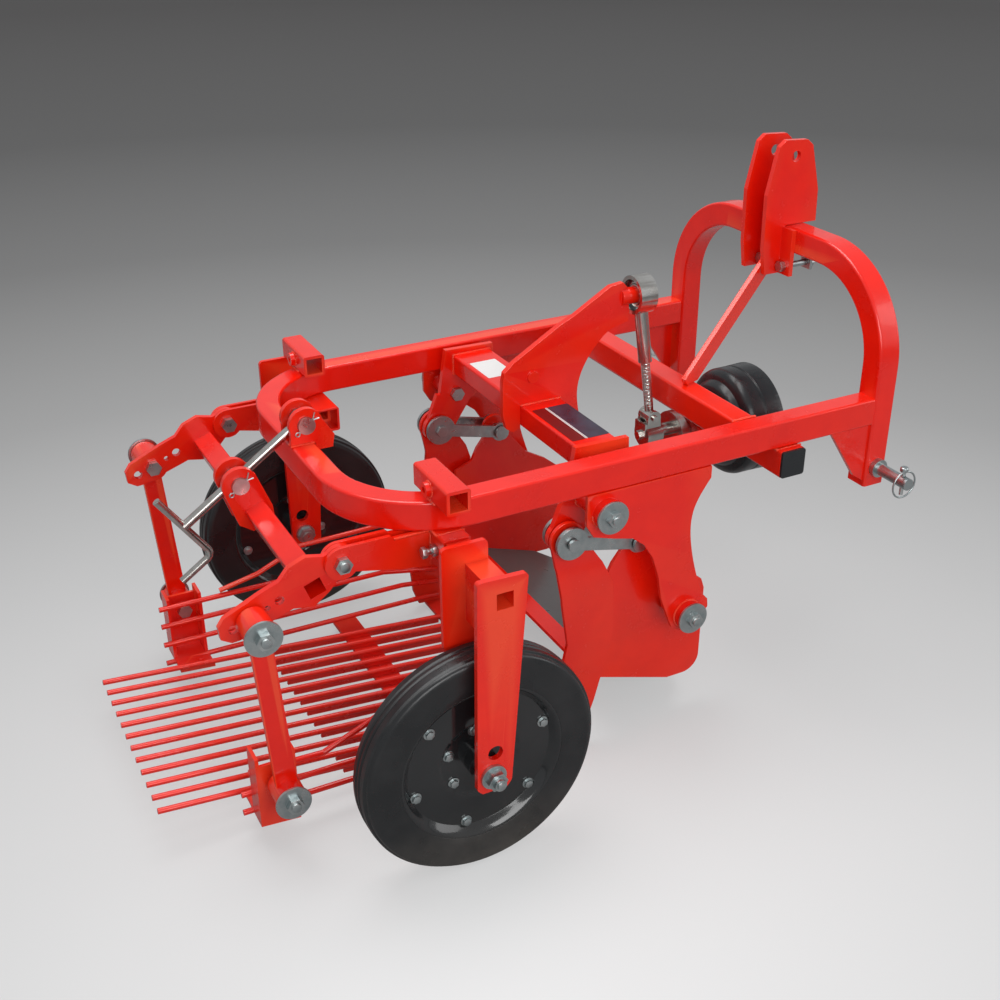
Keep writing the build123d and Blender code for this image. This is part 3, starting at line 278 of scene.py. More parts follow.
join(grain_group, start.outputs["Gloss Low"], gloss.inputs["To Min"])
join(grain_group, start.outputs["Gloss High"], gloss.inputs["To Max"])
join(grain_group, paint.outputs["Result"], end.inputs["Color"])
join(grain_group, gloss.outputs["Result"], end.inputs["Roughness"])
join(grain_group, grain.outputs["Fac"], end.inputs["Height"])
print("group:", grain_group.name)

# %% The edge highlight and dust group
sheen_dust_group, start, end = shader_group(
    "edge_sheen_and_dust",
    [("Color", COLOR, (0.5, 0.5, 0.5, 1)), ("Edge Color", COLOR, (0.8, 0.8, 0.8, 1)), ("Edge Amount", FLOAT, 0.4),
     ("Dust Color", COLOR, (0.4, 0.35, 0.3, 1)), ("Dust Height", FLOAT, 0.12), ("Dust Amount", FLOAT, 0.1)],
    [("Color", COLOR), ("Mask", FLOAT)])
where = add_node(sheen_dust_group, "ShaderNodeTexCoord")
shape = add_node(sheen_dust_group, "ShaderNodeNewGeometry")
# painted highlight: sharp convex edges, found by pointiness, take the paler Edge Color
edge = add_node(sheen_dust_group, "ShaderNodeMapRange")
edge.inputs["From Min"].default_value = 0.53
edge.inputs["From Max"].default_value = 0.62
edge_amount = add_node(sheen_dust_group, "ShaderNodeMath", operation="MULTIPLY")
edge_paint = add_node(sheen_dust_group, "ShaderNodeMix", data_type="RGBA")
height = add_node(sheen_dust_group, "ShaderNodeSeparateXYZ")
low = add_node(sheen_dust_group, "ShaderNodeMapRange")
low.inputs["To Min"].default_value = 1.0
low.inputs["To Max"].default_value = 0.0
cloud = add_node(sheen_dust_group, "ShaderNodeTexNoise", Scale=18.0, Detail=6.0, Roughness=0.65)
patchy = add_node(sheen_dust_group, "ShaderNodeMath", operation="MULTIPLY")
dust_amount = add_node(sheen_dust_group, "ShaderNodeMath", operation="MULTIPLY")
dust_paint = add_node(sheen_dust_group, "ShaderNodeMix", data_type="RGBA")
join(sheen_dust_group, shape.outputs["Pointiness"], edge.inputs["Value"])
join(sheen_dust_group, edge.outputs["Result"], edge_amount.inputs[0])
join(sheen_dust_group, start.outputs["Edge Amount"], edge_amount.inputs[1])
join(sheen_dust_group, edge_amount.outputs["Value"], edge_paint.inputs["Factor"])
join(sheen_dust_group, start.outputs["Color"], edge_paint.inputs["A"])
join(sheen_dust_group, start.outputs["Edge Color"], edge_paint.inputs["B"])
join(sheen_dust_group, where.outputs["Object"], height.inputs["Vector"])
join(sheen_dust_group, height.outputs["Z"], low.inputs["Value"])
join(sheen_dust_group, start.outputs["Dust Height"], low.inputs["From Max"])
join(sheen_dust_group, where.outputs["Object"], cloud.inputs["Vector"])
join(sheen_dust_group, low.outputs["Result"], patchy.inputs[0])
join(sheen_dust_group, cloud.outputs["Fac"], patchy.inputs[1])
join(sheen_dust_group, patchy.outputs["Value"], dust_amount.inputs[0])
join(sheen_dust_group, start.outputs["Dust Amount"], dust_amount.inputs[1])
join(sheen_dust_group, dust_amount.outputs["Value"], dust_paint.inputs["Factor"])
join(sheen_dust_group, edge_paint.outputs["Result"], dust_paint.inputs["A"])
join(sheen_dust_group, start.outputs["Dust Color"], dust_paint.inputs["B"])
join(sheen_dust_group, dust_paint.outputs["Result"], end.inputs["Color"])
join(sheen_dust_group, dust_amount.outputs["Value"], end.inputs["Mask"])
print("group:", sheen_dust_group.name)

# %% [markdown]
# ## The finishes
# Each finish is one Principled shader fed by the two groups. The enamel is a
# deep orange red with a wet gloss, the wheels are black enamel with solid
# rubber, and the fasteners are zinc plated. Values that never change over a
# surface, such as the coat, are set on the shader itself.

# %% A finish from the shared groups


def finish(name, color, tint, gloss, grain, mottle=12.0, bump=0.05, metallic=0.0, edge=(1, 1, 1), edge_amount=0.0,
           dust=0.0, coat=0.0):
    """A material: colours are linear, gloss is (lowest, highest) roughness."""
    mat = bpy.data.materials.new(name)
    mat.use_nodes = True
    tree = mat.node_tree
    surface = tree.nodes["Principled BSDF"]
    skin = tree.nodes.new("ShaderNodeGroup")
    skin.node_tree = grain_group
    skin.inputs["Color"].default_value = (*color, 1)
    skin.inputs["Tint"].default_value = (*tint, 1)
    skin.inputs["Mottle Scale"].default_value = mottle
    skin.inputs["Grain Scale"].default_value = grain
    skin.inputs["Gloss Low"].default_value = gloss[0]
    skin.inputs["Gloss High"].default_value = gloss[1]
    sheen_dust = tree.nodes.new("ShaderNodeGroup")
    sheen_dust.node_tree = sheen_dust_group
    sheen_dust.inputs["Edge Color"].default_value = (*edge, 1)
    sheen_dust.inputs["Edge Amount"].default_value = edge_amount
    sheen_dust.inputs["Dust Amount"].default_value = dust
    relief = add_node(tree, "ShaderNodeBump", Strength=bump, Distance=0.001)
    join(tree, skin.outputs["Color"], sheen_dust.inputs["Color"])
    join(tree, sheen_dust.outputs["Color"], surface.inputs["Base Color"])
    join(tree, skin.outputs["Roughness"], surface.inputs["Roughness"])
    join(tree, skin.outputs["Height"], relief.inputs["Height"])
    join(tree, relief.outputs["Normal"], surface.inputs["Normal"])
    surface.inputs["Metallic"].default_value = metallic
    surface.inputs["Coat Weight"].default_value = coat
    surface.inputs["Coat Roughness"].default_value = 0.06
    return mat


# each edge colour below is a painted highlight, paler than its surface, along sharp edges
ENAMEL = finish("red_enamel", (0.86, 0.010, 0.0008), (0.76, 0.006, 0.0005), (0.20, 0.30), 420, bump=0.10,
                edge=(0.95, 0.10, 0.03), edge_amount=0.5, dust=0.10, coat=0.35)
BLACK_ENAMEL = finish("black_enamel", (0.008, 0.009, 0.010), (0.014, 0.015, 0.016), (0.10, 0.20), 300, bump=0.06,
                      edge=(0.05, 0.05, 0.05), edge_amount=0.4, dust=0.12, coat=0.5)
RUBBER = finish("wheel_rubber", (0.010, 0.011, 0.012), (0.020, 0.020, 0.021), (0.22, 0.42), 700, bump=0.12,
                edge=(0.05, 0.05, 0.05), edge_amount=0.4, dust=0.25)
PLASTIC = finish("black_plastic", (0.010, 0.012, 0.014), (0.016, 0.018, 0.020), (0.22, 0.32), 1200, bump=0.08)
ZINC = finish("zinc_plate", (0.52, 0.56, 0.56), (0.36, 0.42, 0.43), (0.24, 0.42), 600, mottle=60, bump=0.15,
              metallic=1.0, edge=(0.8, 0.8, 0.78), edge_amount=0.5)
STEEL = finish("bright_steel", (0.62, 0.61, 0.58), (0.42, 0.40, 0.37), (0.14, 0.28), 900, mottle=40, bump=0.08,
               metallic=1.0, edge=(0.85, 0.85, 0.82), edge_amount=0.4)
SHARE_BLACK = finish("share_black", (0.012, 0.013, 0.015), (0.03, 0.03, 0.032), (0.25, 0.45), 260, bump=0.2,
                     edge=(0.25, 0.24, 0.23), edge_amount=0.6, dust=0.3)
FINISHES = {"red": ENAMEL, "zinc": ZINC, "steel": STEEL, "rim": BLACK_ENAMEL, "tyre": RUBBER,
            "plastic": PLASTIC, "blade": SHARE_BLACK}
print("finishes:", [m.name for m in FINISHES.values()])

# %% [markdown]
# ## Dressing the solids
# The solids arrive as loose triangles with knife edges. Real sheet and tube
# have softened edges that catch a thin light, and that line does most to make
# them read as steel. A weld of the doubles, a planar clean-up, a narrow bevel
# and weighted normals give it, and a short Geometry Nodes tree smooths what is
# round.

# %% The smoothing tree
SHARP_ANGLE = 38
smooth_tree, start, end, sockets = shape_tree("smooth_by_angle", [("Sharp Angle", FLOAT)])
angle_socket = sockets["Sharp Angle"]
angle_socket.default_value = math.radians(SHARP_ANGLE)
all_smooth = add_node(smooth_tree, "GeometryNodeSetShadeSmooth", domain="FACE")
edges_sharp = add_node(smooth_tree, "GeometryNodeSetShadeSmooth", domain="EDGE")
edges_sharp.inputs["Shade Smooth"].default_value = False
edge_angle = add_node(smooth_tree, "GeometryNodeInputMeshEdgeAngle")
is_sharp = add_node(smooth_tree, "FunctionNodeCompare", data_type="FLOAT", operation="GREATER_THAN")
join(smooth_tree, start.outputs["Geometry"], all_smooth.inputs["Geometry"])
join(smooth_tree, edge_angle.outputs["Unsigned Angle"], is_sharp.inputs["A"])
join(smooth_tree, start.outputs["Sharp Angle"], is_sharp.inputs["B"])
join(smooth_tree, all_smooth.outputs["Geometry"], edges_sharp.inputs["Geometry"])
join(smooth_tree, is_sharp.outputs["Result"], edges_sharp.inputs["Selection"])
join(smooth_tree, edges_sharp.outputs["Geometry"], end.inputs["Geometry"])
print("tree:", smooth_tree.name)

# %% Soft edges and finishes for the solids


def smoothed(obj, angle=SHARP_ANGLE):
    """Live smoothing that keeps every edge sharper than the angle."""
    smooth = obj.modifiers.new("smooth", "NODES")
    smooth.node_group = smooth_tree
    smooth[angle_socket.identifier] = math.radians(angle)


def round_off(obj, width):
    """Narrow live bevel and smooth-by-angle; the width is in millimetres."""
    bevel = obj.modifiers.new("bevel", "BEVEL")
    bevel.width = width * MM
    bevel.segments = 2
    bevel.limit_method = "ANGLE"
    bevel.angle_limit = math.radians(SHARP_ANGLE)
    smoothed(obj)


def soften(obj, width):
    """Live modifiers that round a solid's edges without touching its own mesh."""
    weld = obj.modifiers.new("weld", "WELD")
    weld.merge_threshold = 0.01 * MM
    flat = obj.modifiers.new("flat", "DECIMATE")
    flat.decimate_type = "DISSOLVE"
    flat.angle_limit = math.radians(0.4)
    round_off(obj, width)
    normals = obj.modifiers.new("normals", "WEIGHTED_NORMAL")
    normals.keep_sharp = True
    normals.weight = 60


PAINT_EDGE, METAL_EDGE = 1.2, 0.5
slots = {entry["node"]: entry["material_slot"] for entry in frame["record"]["subparts"]}
for name, node in frame["nodes"].items():
    for index in range(max(1, len(node.material_slots))):
        if not node.material_slots:
            node.data.materials.append(None)
        node.material_slots[index].link = "OBJECT"
        node.material_slots[index].material = FINISHES[slots[name]]
    soften(node, PAINT_EDGE if slots[name] == "red" else METAL_EDGE)
print("dressed", len(frame["nodes"]), "solids")

# %% [markdown]
# ## Fasteners from one tree
# Bolt heads and nuts repeat all over a farm machine, so one Geometry Nodes
# tree makes them. Each point of a small mesh is a place, and its stored facing
# says which way the head looks. Every head gets its own turn from a fixed
# seed, because no fitter lines them up.

# %% The fastener tree
FASTENER_SIZES = ("Washer Radius", "Washer Height", "Nut Radius", "Nut Height", "Shank Radius", "Shank Height",
                  "Head Radius", "Head Height")
fastener_tree, start, end, fastener_sockets = shape_tree(
    "fasteners", [(label, FLOAT) for label in FASTENER_SIZES] + [("Material", "NodeSocketMaterial")])
stack = add_node(fastener_tree, "GeometryNodeJoinGeometry")
below = None
for part, sides in (("Washer", 24), ("Nut", 6), ("Shank", 12), ("Head", 6)):
    radius, height = start.outputs[part + " Radius"], start.outputs[part + " Height"]
    body = add_node(fastener_tree, "GeometryNodeMeshCone", fill_type="NGON")
    body.inputs["Vertices"].default_value = sides
    join(fastener_tree, radius, body.inputs["Radius Bottom"])
    join(fastener_tree, radius, body.inputs["Radius Top"])
    join(fastener_tree, height, body.inputs["Depth"])
    lift = add_node(fastener_tree, "GeometryNodeTransform")
    offset = add_node(fastener_tree, "ShaderNodeCombineXYZ")
    join(fastener_tree, body.outputs["Mesh"], lift.inputs["Geometry"])
    if below is not None:
        join(fastener_tree, below, offset.inputs["Z"])
    join(fastener_tree, offset.outputs["Vector"], lift.inputs["Translation"])
    # a part of no height is left out
    there = add_node(fastener_tree, "FunctionNodeCompare", data_type="FLOAT", operation="GREATER_THAN")
    there.inputs["B"].default_value = 0.00001
    switch = add_node(fastener_tree, "GeometryNodeSwitch", input_type="GEOMETRY")
    join(fastener_tree, height, there.inputs["A"])
    join(fastener_tree, there.outputs["Result"], switch.inputs["Switch"])
    join(fastener_tree, lift.outputs["Geometry"], switch.inputs["True"])
    join(fastener_tree, switch.outputs["Output"], stack.inputs["Geometry"])
    top = add_node(fastener_tree, "ShaderNodeMath", operation="ADD")
    top.inputs[0].default_value = 0.0
    if below is not None:
        join(fastener_tree, below, top.inputs[0])
    join(fastener_tree, height, top.inputs[1])
    below = top.outputs["Value"]
places = add_node(fastener_tree, "GeometryNodeMeshToPoints")
facing = add_node(fastener_tree, "GeometryNodeInputNamedAttribute", data_type="FLOAT_VECTOR")
facing.inputs["Name"].default_value = "facing"
look = add_node(fastener_tree, "FunctionNodeAlignRotationToVector", axis="Z")
turn = add_node(fastener_tree, "FunctionNodeRandomValue", data_type="FLOAT")
turn.inputs["Max"].default_value = math.tau
turn.inputs["Seed"].default_value = 7
spin = add_node(fastener_tree, "FunctionNodeAxisAngleToRotation")
spin.inputs["Axis"].default_value = (0, 0, 1)
aimed = add_node(fastener_tree, "FunctionNodeRotateRotation", rotation_space="LOCAL")
spread = add_node(fastener_tree, "GeometryNodeInstanceOnPoints")
solid = add_node(fastener_tree, "GeometryNodeRealizeInstances")
paint = add_node(fastener_tree, "GeometryNodeSetMaterial")
join(fastener_tree, start.outputs["Geometry"], places.inputs["Mesh"])
join(fastener_tree, facing.outputs["Attribute"], look.inputs["Vector"])
join(fastener_tree, [s for s in turn.outputs if s.type == "VALUE"][0], spin.inputs["Angle"])
join(fastener_tree, look.outputs["Rotation"], aimed.inputs["Rotation"])
join(fastener_tree, spin.outputs["Rotation"], aimed.inputs["Rotate By"])
join(fastener_tree, places.outputs["Points"], spread.inputs["Points"])
join(fastener_tree, stack.outputs["Geometry"], spread.inputs["Instance"])
join(fastener_tree, aimed.outputs["Rotation"], spread.inputs["Rotation"])
join(fastener_tree, spread.outputs["Instances"], solid.inputs["Geometry"])
join(fastener_tree, solid.outputs["Geometry"], paint.inputs["Geometry"])
join(fastener_tree, start.outputs["Material"], paint.inputs["Material"])
join(fastener_tree, paint.outputs["Geometry"], end.inputs["Geometry"])
print("tree:", fastener_tree.name, list(fastener_sockets))

# %% Turning a tree's result into a plain piece


def new_piece(name, mesh, body, material=None):
    """Put a finished mesh in the scene on one body of the machine."""
    piece = bpy.data.objects.new(name, mesh)
    bpy.context.collection.objects.link(piece)
    if material:
        mesh.materials.clear()
        mesh.materials.append(material)
    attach(piece, body)
    return piece


def baked(name, seed_mesh, tree, values):
    """The plain mesh that a Geometry Nodes tree makes from a seed mesh."""
    holder = bpy.data.objects.new(name + "_seed", seed_mesh)
    bpy.context.collection.objects.link(holder)
    nodes = holder.modifiers.new("tree", "NODES")
    nodes.node_group = tree
    for identifier, value in values.items():
        nodes[identifier] = value
    bpy.context.view_layer.update()
    depsgraph = bpy.context.evaluated_depsgraph_get()
    mesh = bpy.data.meshes.new_from_object(holder.evaluated_get(depsgraph), depsgraph=depsgraph)
    mesh.name = name
    bpy.data.objects.remove(holder)
    return mesh


def fasteners(name, body, sizes, places):
    """One piece with a fastener at each place; a place is (x, y, z, facing)."""
    seed = bpy.data.meshes.new(name + "_places")
    seed.from_pydata([at(*place[:3]) for place in places], [], [])
    store = seed.attributes.new("facing", "FLOAT_VECTOR", "POINT")
    for index, place in enumerate(places):
        store.data[index].vector = place[3]
    values = {fastener_sockets[label].identifier: sizes.get(label, 0.0) * MM for label in FASTENER_SIZES}
    values[fastener_sockets["Material"].identifier] = ZINC
    mesh = baked(name, seed, fastener_tree, values)
    round_off(new_piece(name, mesh, body), 0.6)


BACK, LEFT, RIGHT = (-1, 0, 0), (0, 1, 0), (0, -1, 0)
print("helpers: new_piece, baked, fasteners")

# %% Fasteners of each body
SIDES = (-1, 1)  # right and left of the centre plane
WHEELS = {"right": (1.0, -443.0, -379.0), "left": (9.0, 408.0, -379.0)}
# radius, first place in degrees, and how far the disc's right and left faces lie from its centre plane
DISC_RINGS = ((115.0, 17.0, 13.0, 7.0), (55.0, 158.0, 7.0, 1.0))
BOLTS_PER_RING = 6
DISC_BOLT = {"Washer Radius": 9.5, "Washer Height": 1.6, "Head Radius": 7.2, "Head Height": 5.0}
for hand, (cx, cy, cz) in WHEELS.items():
    heads = []
    for radius, first, right_face, left_face in DISC_RINGS:
        for step in range(BOLTS_PER_RING):
            turn = math.radians(first + 360 / BOLTS_PER_RING * step)
            x, z = cx + radius * math.cos(turn), cz + radius * math.sin(turn)
            heads.append((x, cy - right_face, z, RIGHT))
            heads.append((x, cy - left_face, z, LEFT))
    fasteners(f"disc_bolts_{hand}", f"wheel_{hand}_body", DISC_BOLT, heads)

SET_SCREW = {"Nut Radius": 10.0, "Nut Height": 8.0, "Shank Radius": 5.0, "Shank Height": 9.0,
             "Head Radius": 9.5, "Head Height": 7.5}
fasteners("socket_screws", "frame", SET_SCREW, [(0, side * 318, -76, BACK) for side in SIDES])
print("fasteners on", len(WHEELS), "wheels and the sockets")

# %% [markdown]
# ## Weld seams
# A farm frame is held together by its welds, and thick paint doesn't hide
# them. The weld tree walks along a path and drops small flattened beads, each
# a little different, so that the seam looks laid by hand.

# %% The weld tree
weld_tree, start, end, weld_sockets = shape_tree("weld_seam", [
    ("Bead Radius", FLOAT), ("Pitch", FLOAT), ("Seed", "NodeSocketInt"), ("Material", "NodeSocketMaterial")])
path = add_node(weld_tree, "GeometryNodeMeshToCurve")
walk = add_node(weld_tree, "GeometryNodeResampleCurve", mode="LENGTH")
bead = add_node(weld_tree, "GeometryNodeMeshUVSphere")
bead.inputs["Segments"].default_value = 8
bead.inputs["Rings"].default_value = 5
lay = add_node(weld_tree, "GeometryNodeInstanceOnPoints")
along = add_node(weld_tree, "GeometryNodeInputTangent")
look = add_node(weld_tree, "FunctionNodeAlignRotationToVector", axis="Z")
uneven = add_node(weld_tree, "FunctionNodeRandomValue", data_type="FLOAT_VECTOR")
uneven.inputs["Min"].default_value = (0.75, 0.75, 0.40)
uneven.inputs["Max"].default_value = (1.15, 1.15, 0.60)
solid = add_node(weld_tree, "GeometryNodeRealizeInstances")
smooth = add_node(weld_tree, "GeometryNodeSetShadeSmooth")
paint = add_node(weld_tree, "GeometryNodeSetMaterial")
join(weld_tree, start.outputs["Geometry"], path.inputs["Mesh"])
join(weld_tree, path.outputs["Curve"], walk.inputs["Curve"])
join(weld_tree, start.outputs["Pitch"], walk.inputs["Length"])
join(weld_tree, start.outputs["Bead Radius"], bead.inputs["Radius"])
join(weld_tree, start.outputs["Seed"], uneven.inputs["Seed"])
join(weld_tree, walk.outputs["Curve"], lay.inputs["Points"])
join(weld_tree, bead.outputs["Mesh"], lay.inputs["Instance"])
join(weld_tree, along.outputs["Tangent"], look.inputs["Vector"])
join(weld_tree, look.outputs["Rotation"], lay.inputs["Rotation"])
join(weld_tree, [s for s in uneven.outputs if s.type == "VECTOR"][0], lay.inputs["Scale"])
join(weld_tree, lay.outputs["Instances"], solid.inputs["Geometry"])
join(weld_tree, solid.outputs["Geometry"], smooth.inputs["Geometry"])
join(weld_tree, smooth.outputs["Geometry"], paint.inputs["Geometry"])
join(weld_tree, start.outputs["Material"], paint.inputs["Material"])
join(weld_tree, paint.outputs["Geometry"], end.inputs["Geometry"])
print("tree:", weld_tree.name)

# %% Welds of each body


def ring(centre, radius, normal_axis, steps=28, first=0.0, last=360.0):
    """Points of a circle, or of a part of it, square to one axis (0, 1 or 2)."""
    points = []
    for step in range(steps + 1):
        turn = math.radians(first + (last - first) * step / steps)
        a, b = radius * math.cos(turn), radius * math.sin(turn)
        offset = {0: (0, a, b), 1: (a, 0, b), 2: (a, b, 0)}[normal_axis]
        points.append(tuple(c + o for c, o in zip(centre, offset)))
    return points


def box_seam(x, y, z):
    """Four straight seams round a tube's end: one of x, y, z is a number, two are ranges."""
    spans = [v if isinstance(v, tuple) else (v, v) for v in (x, y, z)]
    flat = [i for i, v in enumerate((x, y, z)) if not isinstance(v, tuple)][0]
    a, b = [i for i in range(3) if i != flat]
    corners = []
    for ia, ib in ((0, 0), (1, 0), (1, 1), (0, 1), (0, 0)):
        point = [0.0, 0.0, 0.0]
        point[flat] = spans[flat][0]
        point[a], point[b] = spans[a][ia], spans[b][ib]
        corners.append(tuple(point))
    return corners


def welds(name, body, paths, bead=2.6, seed=3):
    """One piece with a seam along each path, given in millimetres from the datum."""
    seam = bpy.data.meshes.new(name + "_paths")
    points, edges = [], []
    for path_points in paths:
        edges += [(len(points) + i, len(points) + i + 1) for i in range(len(path_points) - 1)]
        points += [at(*p) for p in path_points]
    seam.from_pydata(points, edges, [])
    values = {weld_sockets["Bead Radius"].identifier: bead * MM, weld_sockets["Pitch"].identifier: bead * 0.8 * MM,
              weld_sockets["Seed"].identifier: seed, weld_sockets["Material"].identifier: ENAMEL}
    new_piece(name, baked(name, seam, weld_tree, values), body)


# the frame's 50 mm tube: its inner and outer faces, its underside, and a proud seam on each
RAIL_IN, RAIL_OUT = 277.5, 320.5
UNDER_RAIL = -51
OVER_RAIL = 0.5
frame_seams = []
for side in SIDES:
    frame_seams += [
        # stub on the rail, and its nut
        [(0, side * 280, OVER_RAIL), (0, side * 318, OVER_RAIL)],
        [(38.5, side * 280, OVER_RAIL), (38.5, side * 318, OVER_RAIL)],
        ring((-0.5, side * 300, 20), 12, 0, 20),
        # socket under the rail
        [(0, side * 320, UNDER_RAIL), (0, side * 280, UNDER_RAIL)],
        [(46, side * RAIL_OUT, UNDER_RAIL), (0, side * RAIL_OUT, UNDER_RAIL)],
        # clevis plates on the rail's bend and the bracket plates behind the sockets
        [(-1, side * 299.5, -100), (-1, side * 299.5, -55)],
        [(-60, side * 299.5, UNDER_RAIL), (-4, side * 299.5, UNDER_RAIL)],
        # cross tube and drop tube at the rails
        [(577, side * RAIL_IN, 0), (577, side * RAIL_IN, -50)],
        [(622, side * RAIL_IN, 0), (622, side * RAIL_IN, -50)],
        [(577, side * RAIL_IN, 0), (622, side * RAIL_IN, 0)],
        [(642, side * RAIL_OUT, UNDER_RAIL), (642, side * 278, UNDER_RAIL)],
        [(642, side * RAIL_OUT, UNDER_RAIL), (692, side * RAIL_OUT, UNDER_RAIL)],
        # bosses of the side plate
        ring((477, side * RAIL_OUT, -332), 27, 1, 30), ring((303, side * RAIL_OUT, -88), 27, 1, 30, 180, 360),
    ]
for y in (-25, -15, 15, 25):
    frame_seams.append([(-122, y, OVER_RAIL), (-82, y, OVER_RAIL)])
frame_seams.append([(692, -85, -100.5), (692, -25, -100.5)])
welds("frame_welds", "frame", frame_seams)
TUBE_X, TUBE_Z = (298, 378), (-48, -8)  # the rocker's tube, rear to front and bottom to top
rocker_seams = [box_seam(TUBE_X, side * 240.5, TUBE_Z) for side in SIDES]
rocker_seams += [[(TUBE_X[0], y, TUBE_Z[1]), (TUBE_X[1], y, TUBE_Z[1])] for y in (-34.5, -21.5)]
rocker_seams += [ring((303, side * 252.5, -88), 20, 1, 24) for side in SIDES]
welds("rocker_welds", "rocker_body", rocker_seams, seed=5)
sieve_seams = [[(-304, side * 243, z), (-242, side * 243, z)] for side in SIDES for z in (-445, -485)]
welds("sieve_welds", "sieve_body", sieve_seams, bead=2.0, seed=9)
print("welds laid")

# %% [markdown]
# ## Wires, threads and turned parts
# The last small parts are bent from wire or turned on a lathe: split pins,
# the linch pins with their rings, screw threads and the ball in the drive
# rod's eye. Two helpers make them: one sweeps a round section along a path,
# the other turns a half section about an axis.

# %% Sweeping and turning


def wire(name, body, paths, radius, material=ZINC, sides=3):
    """Round wire along each path, closed at its ends; paths are in millimetres from the datum."""
    curve = bpy.data.curves.new(name, "CURVE")
    curve.dimensions = "3D"
    curve.bevel_depth = radius * MM
    curve.bevel_resolution = sides
    curve.use_fill_caps = True
    for path_points in paths:
        loop = path_points[0] == path_points[-1]
        spline = curve.splines.new("POLY")
        corners = path_points[:-1] if loop else path_points
        spline.points.add(len(corners) - 1)
        for corner, point in zip(spline.points, corners):
            corner.co = (*at(*point), 1)
        spline.use_cyclic_u = loop
    holder = bpy.data.objects.new(name + "_path", curve)
    bpy.context.collection.objects.link(holder)
    bpy.context.view_layer.update()
    depsgraph = bpy.context.evaluated_depsgraph_get()
    mesh = bpy.data.meshes.new_from_object(holder.evaluated_get(depsgraph), depsgraph=depsgraph)
    bpy.data.objects.remove(holder)
    mesh.shade_smooth()
    smoothed(new_piece(name, mesh, body, material), 45)


def turned(name, body, centre, axis, profile, material=STEEL, steps=48):
    """A closed half section of (radius, along) points turned about an axis (0, 1 or 2) through a centre."""
    shape = bmesh.new()
    rings = []
    for step in range(steps):
        turn = math.tau * step / steps
        row = []
        for radius, along in profile:
            a, b = radius * math.cos(turn), radius * math.sin(turn)
            offset = {0: (along, a, b), 1: (b, along, a), 2: (a, b, along)}[axis]
            row.append(shape.verts.new(at(*(c + o for c, o in zip(centre, offset)))))
        rings.append(row)
    for row, following in zip(rings, rings[1:] + rings[:1]):
        for i in range(len(profile)):
            j = (i + 1) % len(profile)
            shape.faces.new((row[i], row[j], following[j], following[i]))
    bmesh.ops.recalc_face_normals(shape, faces=shape.faces)
    mesh = bpy.data.meshes.new(name)
    shape.to_mesh(mesh)
    shape.free()
    round_off(new_piece(name, mesh, body, material), 0.5)


def helix(first, last, radius, pitch, steps=14):
    """Points of a thread's crest round the line from first to last."""
    start_at, way = Vector(first), Vector(last) - Vector(first)
    run = way.length
    way.normalize()
    side = way.orthogonal().normalized()
    other = way.cross(side)
    count = int(run / pitch * steps)
    return [tuple(start_at + way * (run * i / count) + side * (radius * math.cos(math.tau * i / steps))
                  + other * (radius * math.sin(math.tau * i / steps))) for i in range(count + 1)]


def split_pin(centre, y, turn):
    """Path of a split pin through a round pin's end in a side plane: one leg, the eye and the other leg."""
    way = (math.cos(turn), math.sin(turn))
    out = (-way[1], way[0])

    def spot(along, across):
        return (centre[0] + way[0] * along + out[0] * across, y, centre[1] + way[1] * along + out[1] * across)

    eye_at, eye_radius = -20.5, 3.6
    eye = [spot(eye_at - eye_radius * math.cos(math.radians(a)), eye_radius * math.sin(math.radians(a)))
           for a in range(150, -151, -30)]
    return [spot(25, 7.5), spot(16, 1.3), spot(-17, 1.3)] + eye + [spot(-17, -1.3), spot(16, -1.3), spot(24, -6)]


print("helpers: wire, turned, helix, split_pin")

# %% Pins, rings and threads
SCREW_FRONT, SCREW_REAR = (-94.0, 34.0), (-213.0, -48.0)
wire("trunnion_split_pins", "frame",
     [split_pin(centre, y, math.radians(38)) for centre in (SCREW_FRONT, SCREW_REAR) for y in (-28.3, 28.3)], 1.2)
LINCH_X, LINCH_Y = 877, 388
wire("linch_rings", "frame", [ring((LINCH_X, side * 392, -141), 25, 1, 40) for side in SIDES], 1.7)
wire("linch_pins", "frame",
     [[(LINCH_X, side * LINCH_Y, -109), (LINCH_X, side * LINCH_Y, -162)] for side in SIDES], 3.7)
for hand, side in (("right", -1), ("left", 1)):
    turned(f"linch_head_{hand}", "frame", (LINCH_X, side * LINCH_Y, -113), 2,
           ((0.01, -5), (5.5, -5), (7.5, -3), (7.5, 3), (5.5, 5), (0.01, 5)), material=ZINC, steps=24)

# ball and race in the drive rod's eye
EYE = (541.0, -28.0, 157.0)
BALL, BORE, HALF_WIDTH = 22.0, 15.4, 11
ball = [(BORE, -HALF_WIDTH)] + [(math.sqrt(BALL ** 2 - a * a), a) for a in (-11, -8, -4, 0, 4, 8, 11)]
ball += [(BORE, HALF_WIDTH)]
turned("eye_ball", "drive_rod_body", EYE, 0, ball)
turned("eye_race", "drive_rod_body", EYE, 0,
       ((22.4, -9), (27.6, -13), (27.6, 13), (22.4, 9)), material=BLACK_ENAMEL)

# thread on the rod, from below its lock nut to the knuckle
KNUCKLE = Vector((558, -55, -73))
down = (KNUCKLE - Vector(EYE)).normalized()
wire("drive_rod_thread", "drive_rod_body",
     [helix(Vector(EYE) + down * 128, Vector(EYE) + down * 212, 7.9, 2.4)], 0.75, material=STEEL, sides=1)

# kinked rod over the left fence
wire("fence_top_rod", "sieve_body",
     [[(-205, 240, -394), (-128, 240, -378), (-40, 240, -340), (144, 240, -338), (180, 244, -340), (290, 269, -352)]],
     5.0, material=ENAMEL)
print("pins, rings, threads and the eye's ball")

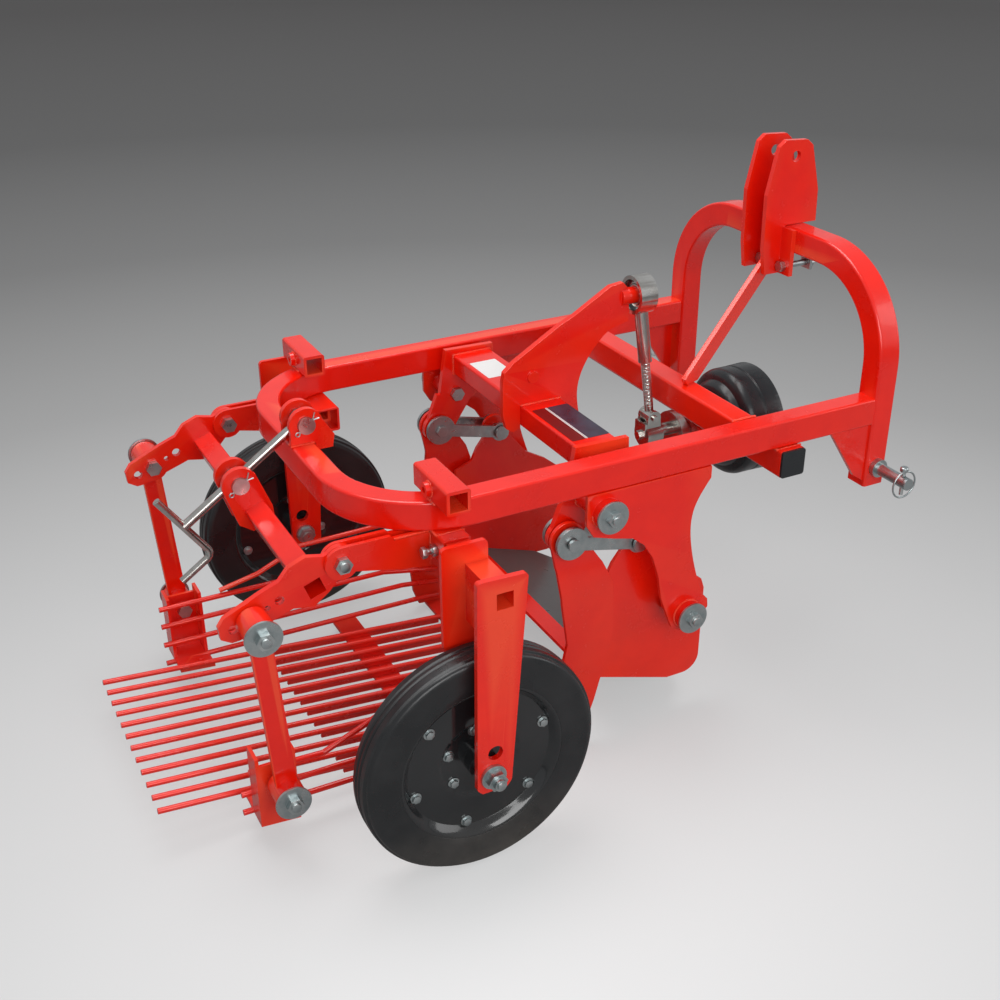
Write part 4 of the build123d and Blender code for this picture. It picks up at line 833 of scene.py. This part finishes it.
# %% Threaded ends of the pivot bolts
BOLT_END = {"Shank Radius": 8.2, "Shank Height": 4.0}
for body, spots in {
    "frame": [(-144.5, 308, -72), (-288, 360, -131), (477, 350, -332)],
    "rocker_body": [(303, 351, -88)],
    "sieve_body": [(-268, 361, -440)],
}.items():
    fasteners("bolt_ends_" + body, body, BOLT_END,
              [(x, side * y, z, RIGHT if side < 0 else LEFT) for x, y, z in spots for side in SIDES])
fasteners("axle_ends", "frame", {"Shank Radius": 6.5, "Shank Height": 3.0},
          [(1, -528, -379, RIGHT), (9, 448, -379, LEFT)])
print("bolt ends")

# %% Two blank labels on the rocker's tube
LABEL_WHITE = finish("label_white", (0.80, 0.80, 0.78), (0.74, 0.74, 0.73), (0.30, 0.45), 500, bump=0.03)
LABEL_SLATE = finish("label_slate", (0.016, 0.020, 0.034), (0.035, 0.045, 0.075), (0.25, 0.40), 500, mottle=30,
                     bump=0.03)
LABEL_RED = finish("label_dark_red", (0.16, 0.004, 0.004), (0.10, 0.003, 0.003), (0.25, 0.40), 500, bump=0.03)


def label(name, body, fields):
    """Thin film pieces lying on a level face; a field is (x range, y range, z, material)."""
    thick = 0.4
    film = bmesh.new()
    mesh = bpy.data.meshes.new(name)
    for index, (xs, ys, z, _) in enumerate(fields):
        made = bmesh.ops.create_cube(film, size=1.0)["verts"]
        middle = at((xs[0] + xs[1]) / 2, (ys[0] + ys[1]) / 2, z + thick / 2)
        for corner in made:
            corner.co = Vector((corner.co.x * (xs[1] - xs[0]), corner.co.y * (ys[1] - ys[0]),
                                corner.co.z * thick)) * MM + middle
        for face in {f for corner in made for f in corner.link_faces}:
            face.material_index = index
        upright = [e for e in {e for c in made for e in c.link_edges}
                   if abs(e.verts[0].co.z - e.verts[1].co.z) > 0.0001]
        bmesh.ops.bevel(film, geom=upright, offset=2.5 * MM, segments=3, affect="EDGES", profile=0.5)
    film.to_mesh(mesh)
    film.free()
    for field in fields:
        mesh.materials.append(field[3])
    new_piece(name, mesh, body)


LARGE_LABEL_Y = (-206, -64)
label("rocker_label_small", "rocker_body", [((306, 360), (104, 186), TUBE_Z[1], LABEL_WHITE)])
label("rocker_label_large", "rocker_body", [
    (xs, LARGE_LABEL_Y, TUBE_Z[1], material)
    for xs, material in (((334, 375), LABEL_SLATE), ((329.5, 333.5), LABEL_WHITE), ((304, 329), LABEL_RED))])
print("labels, left blank")

# %% [markdown]
# ## The end

# %% The end
print("done")
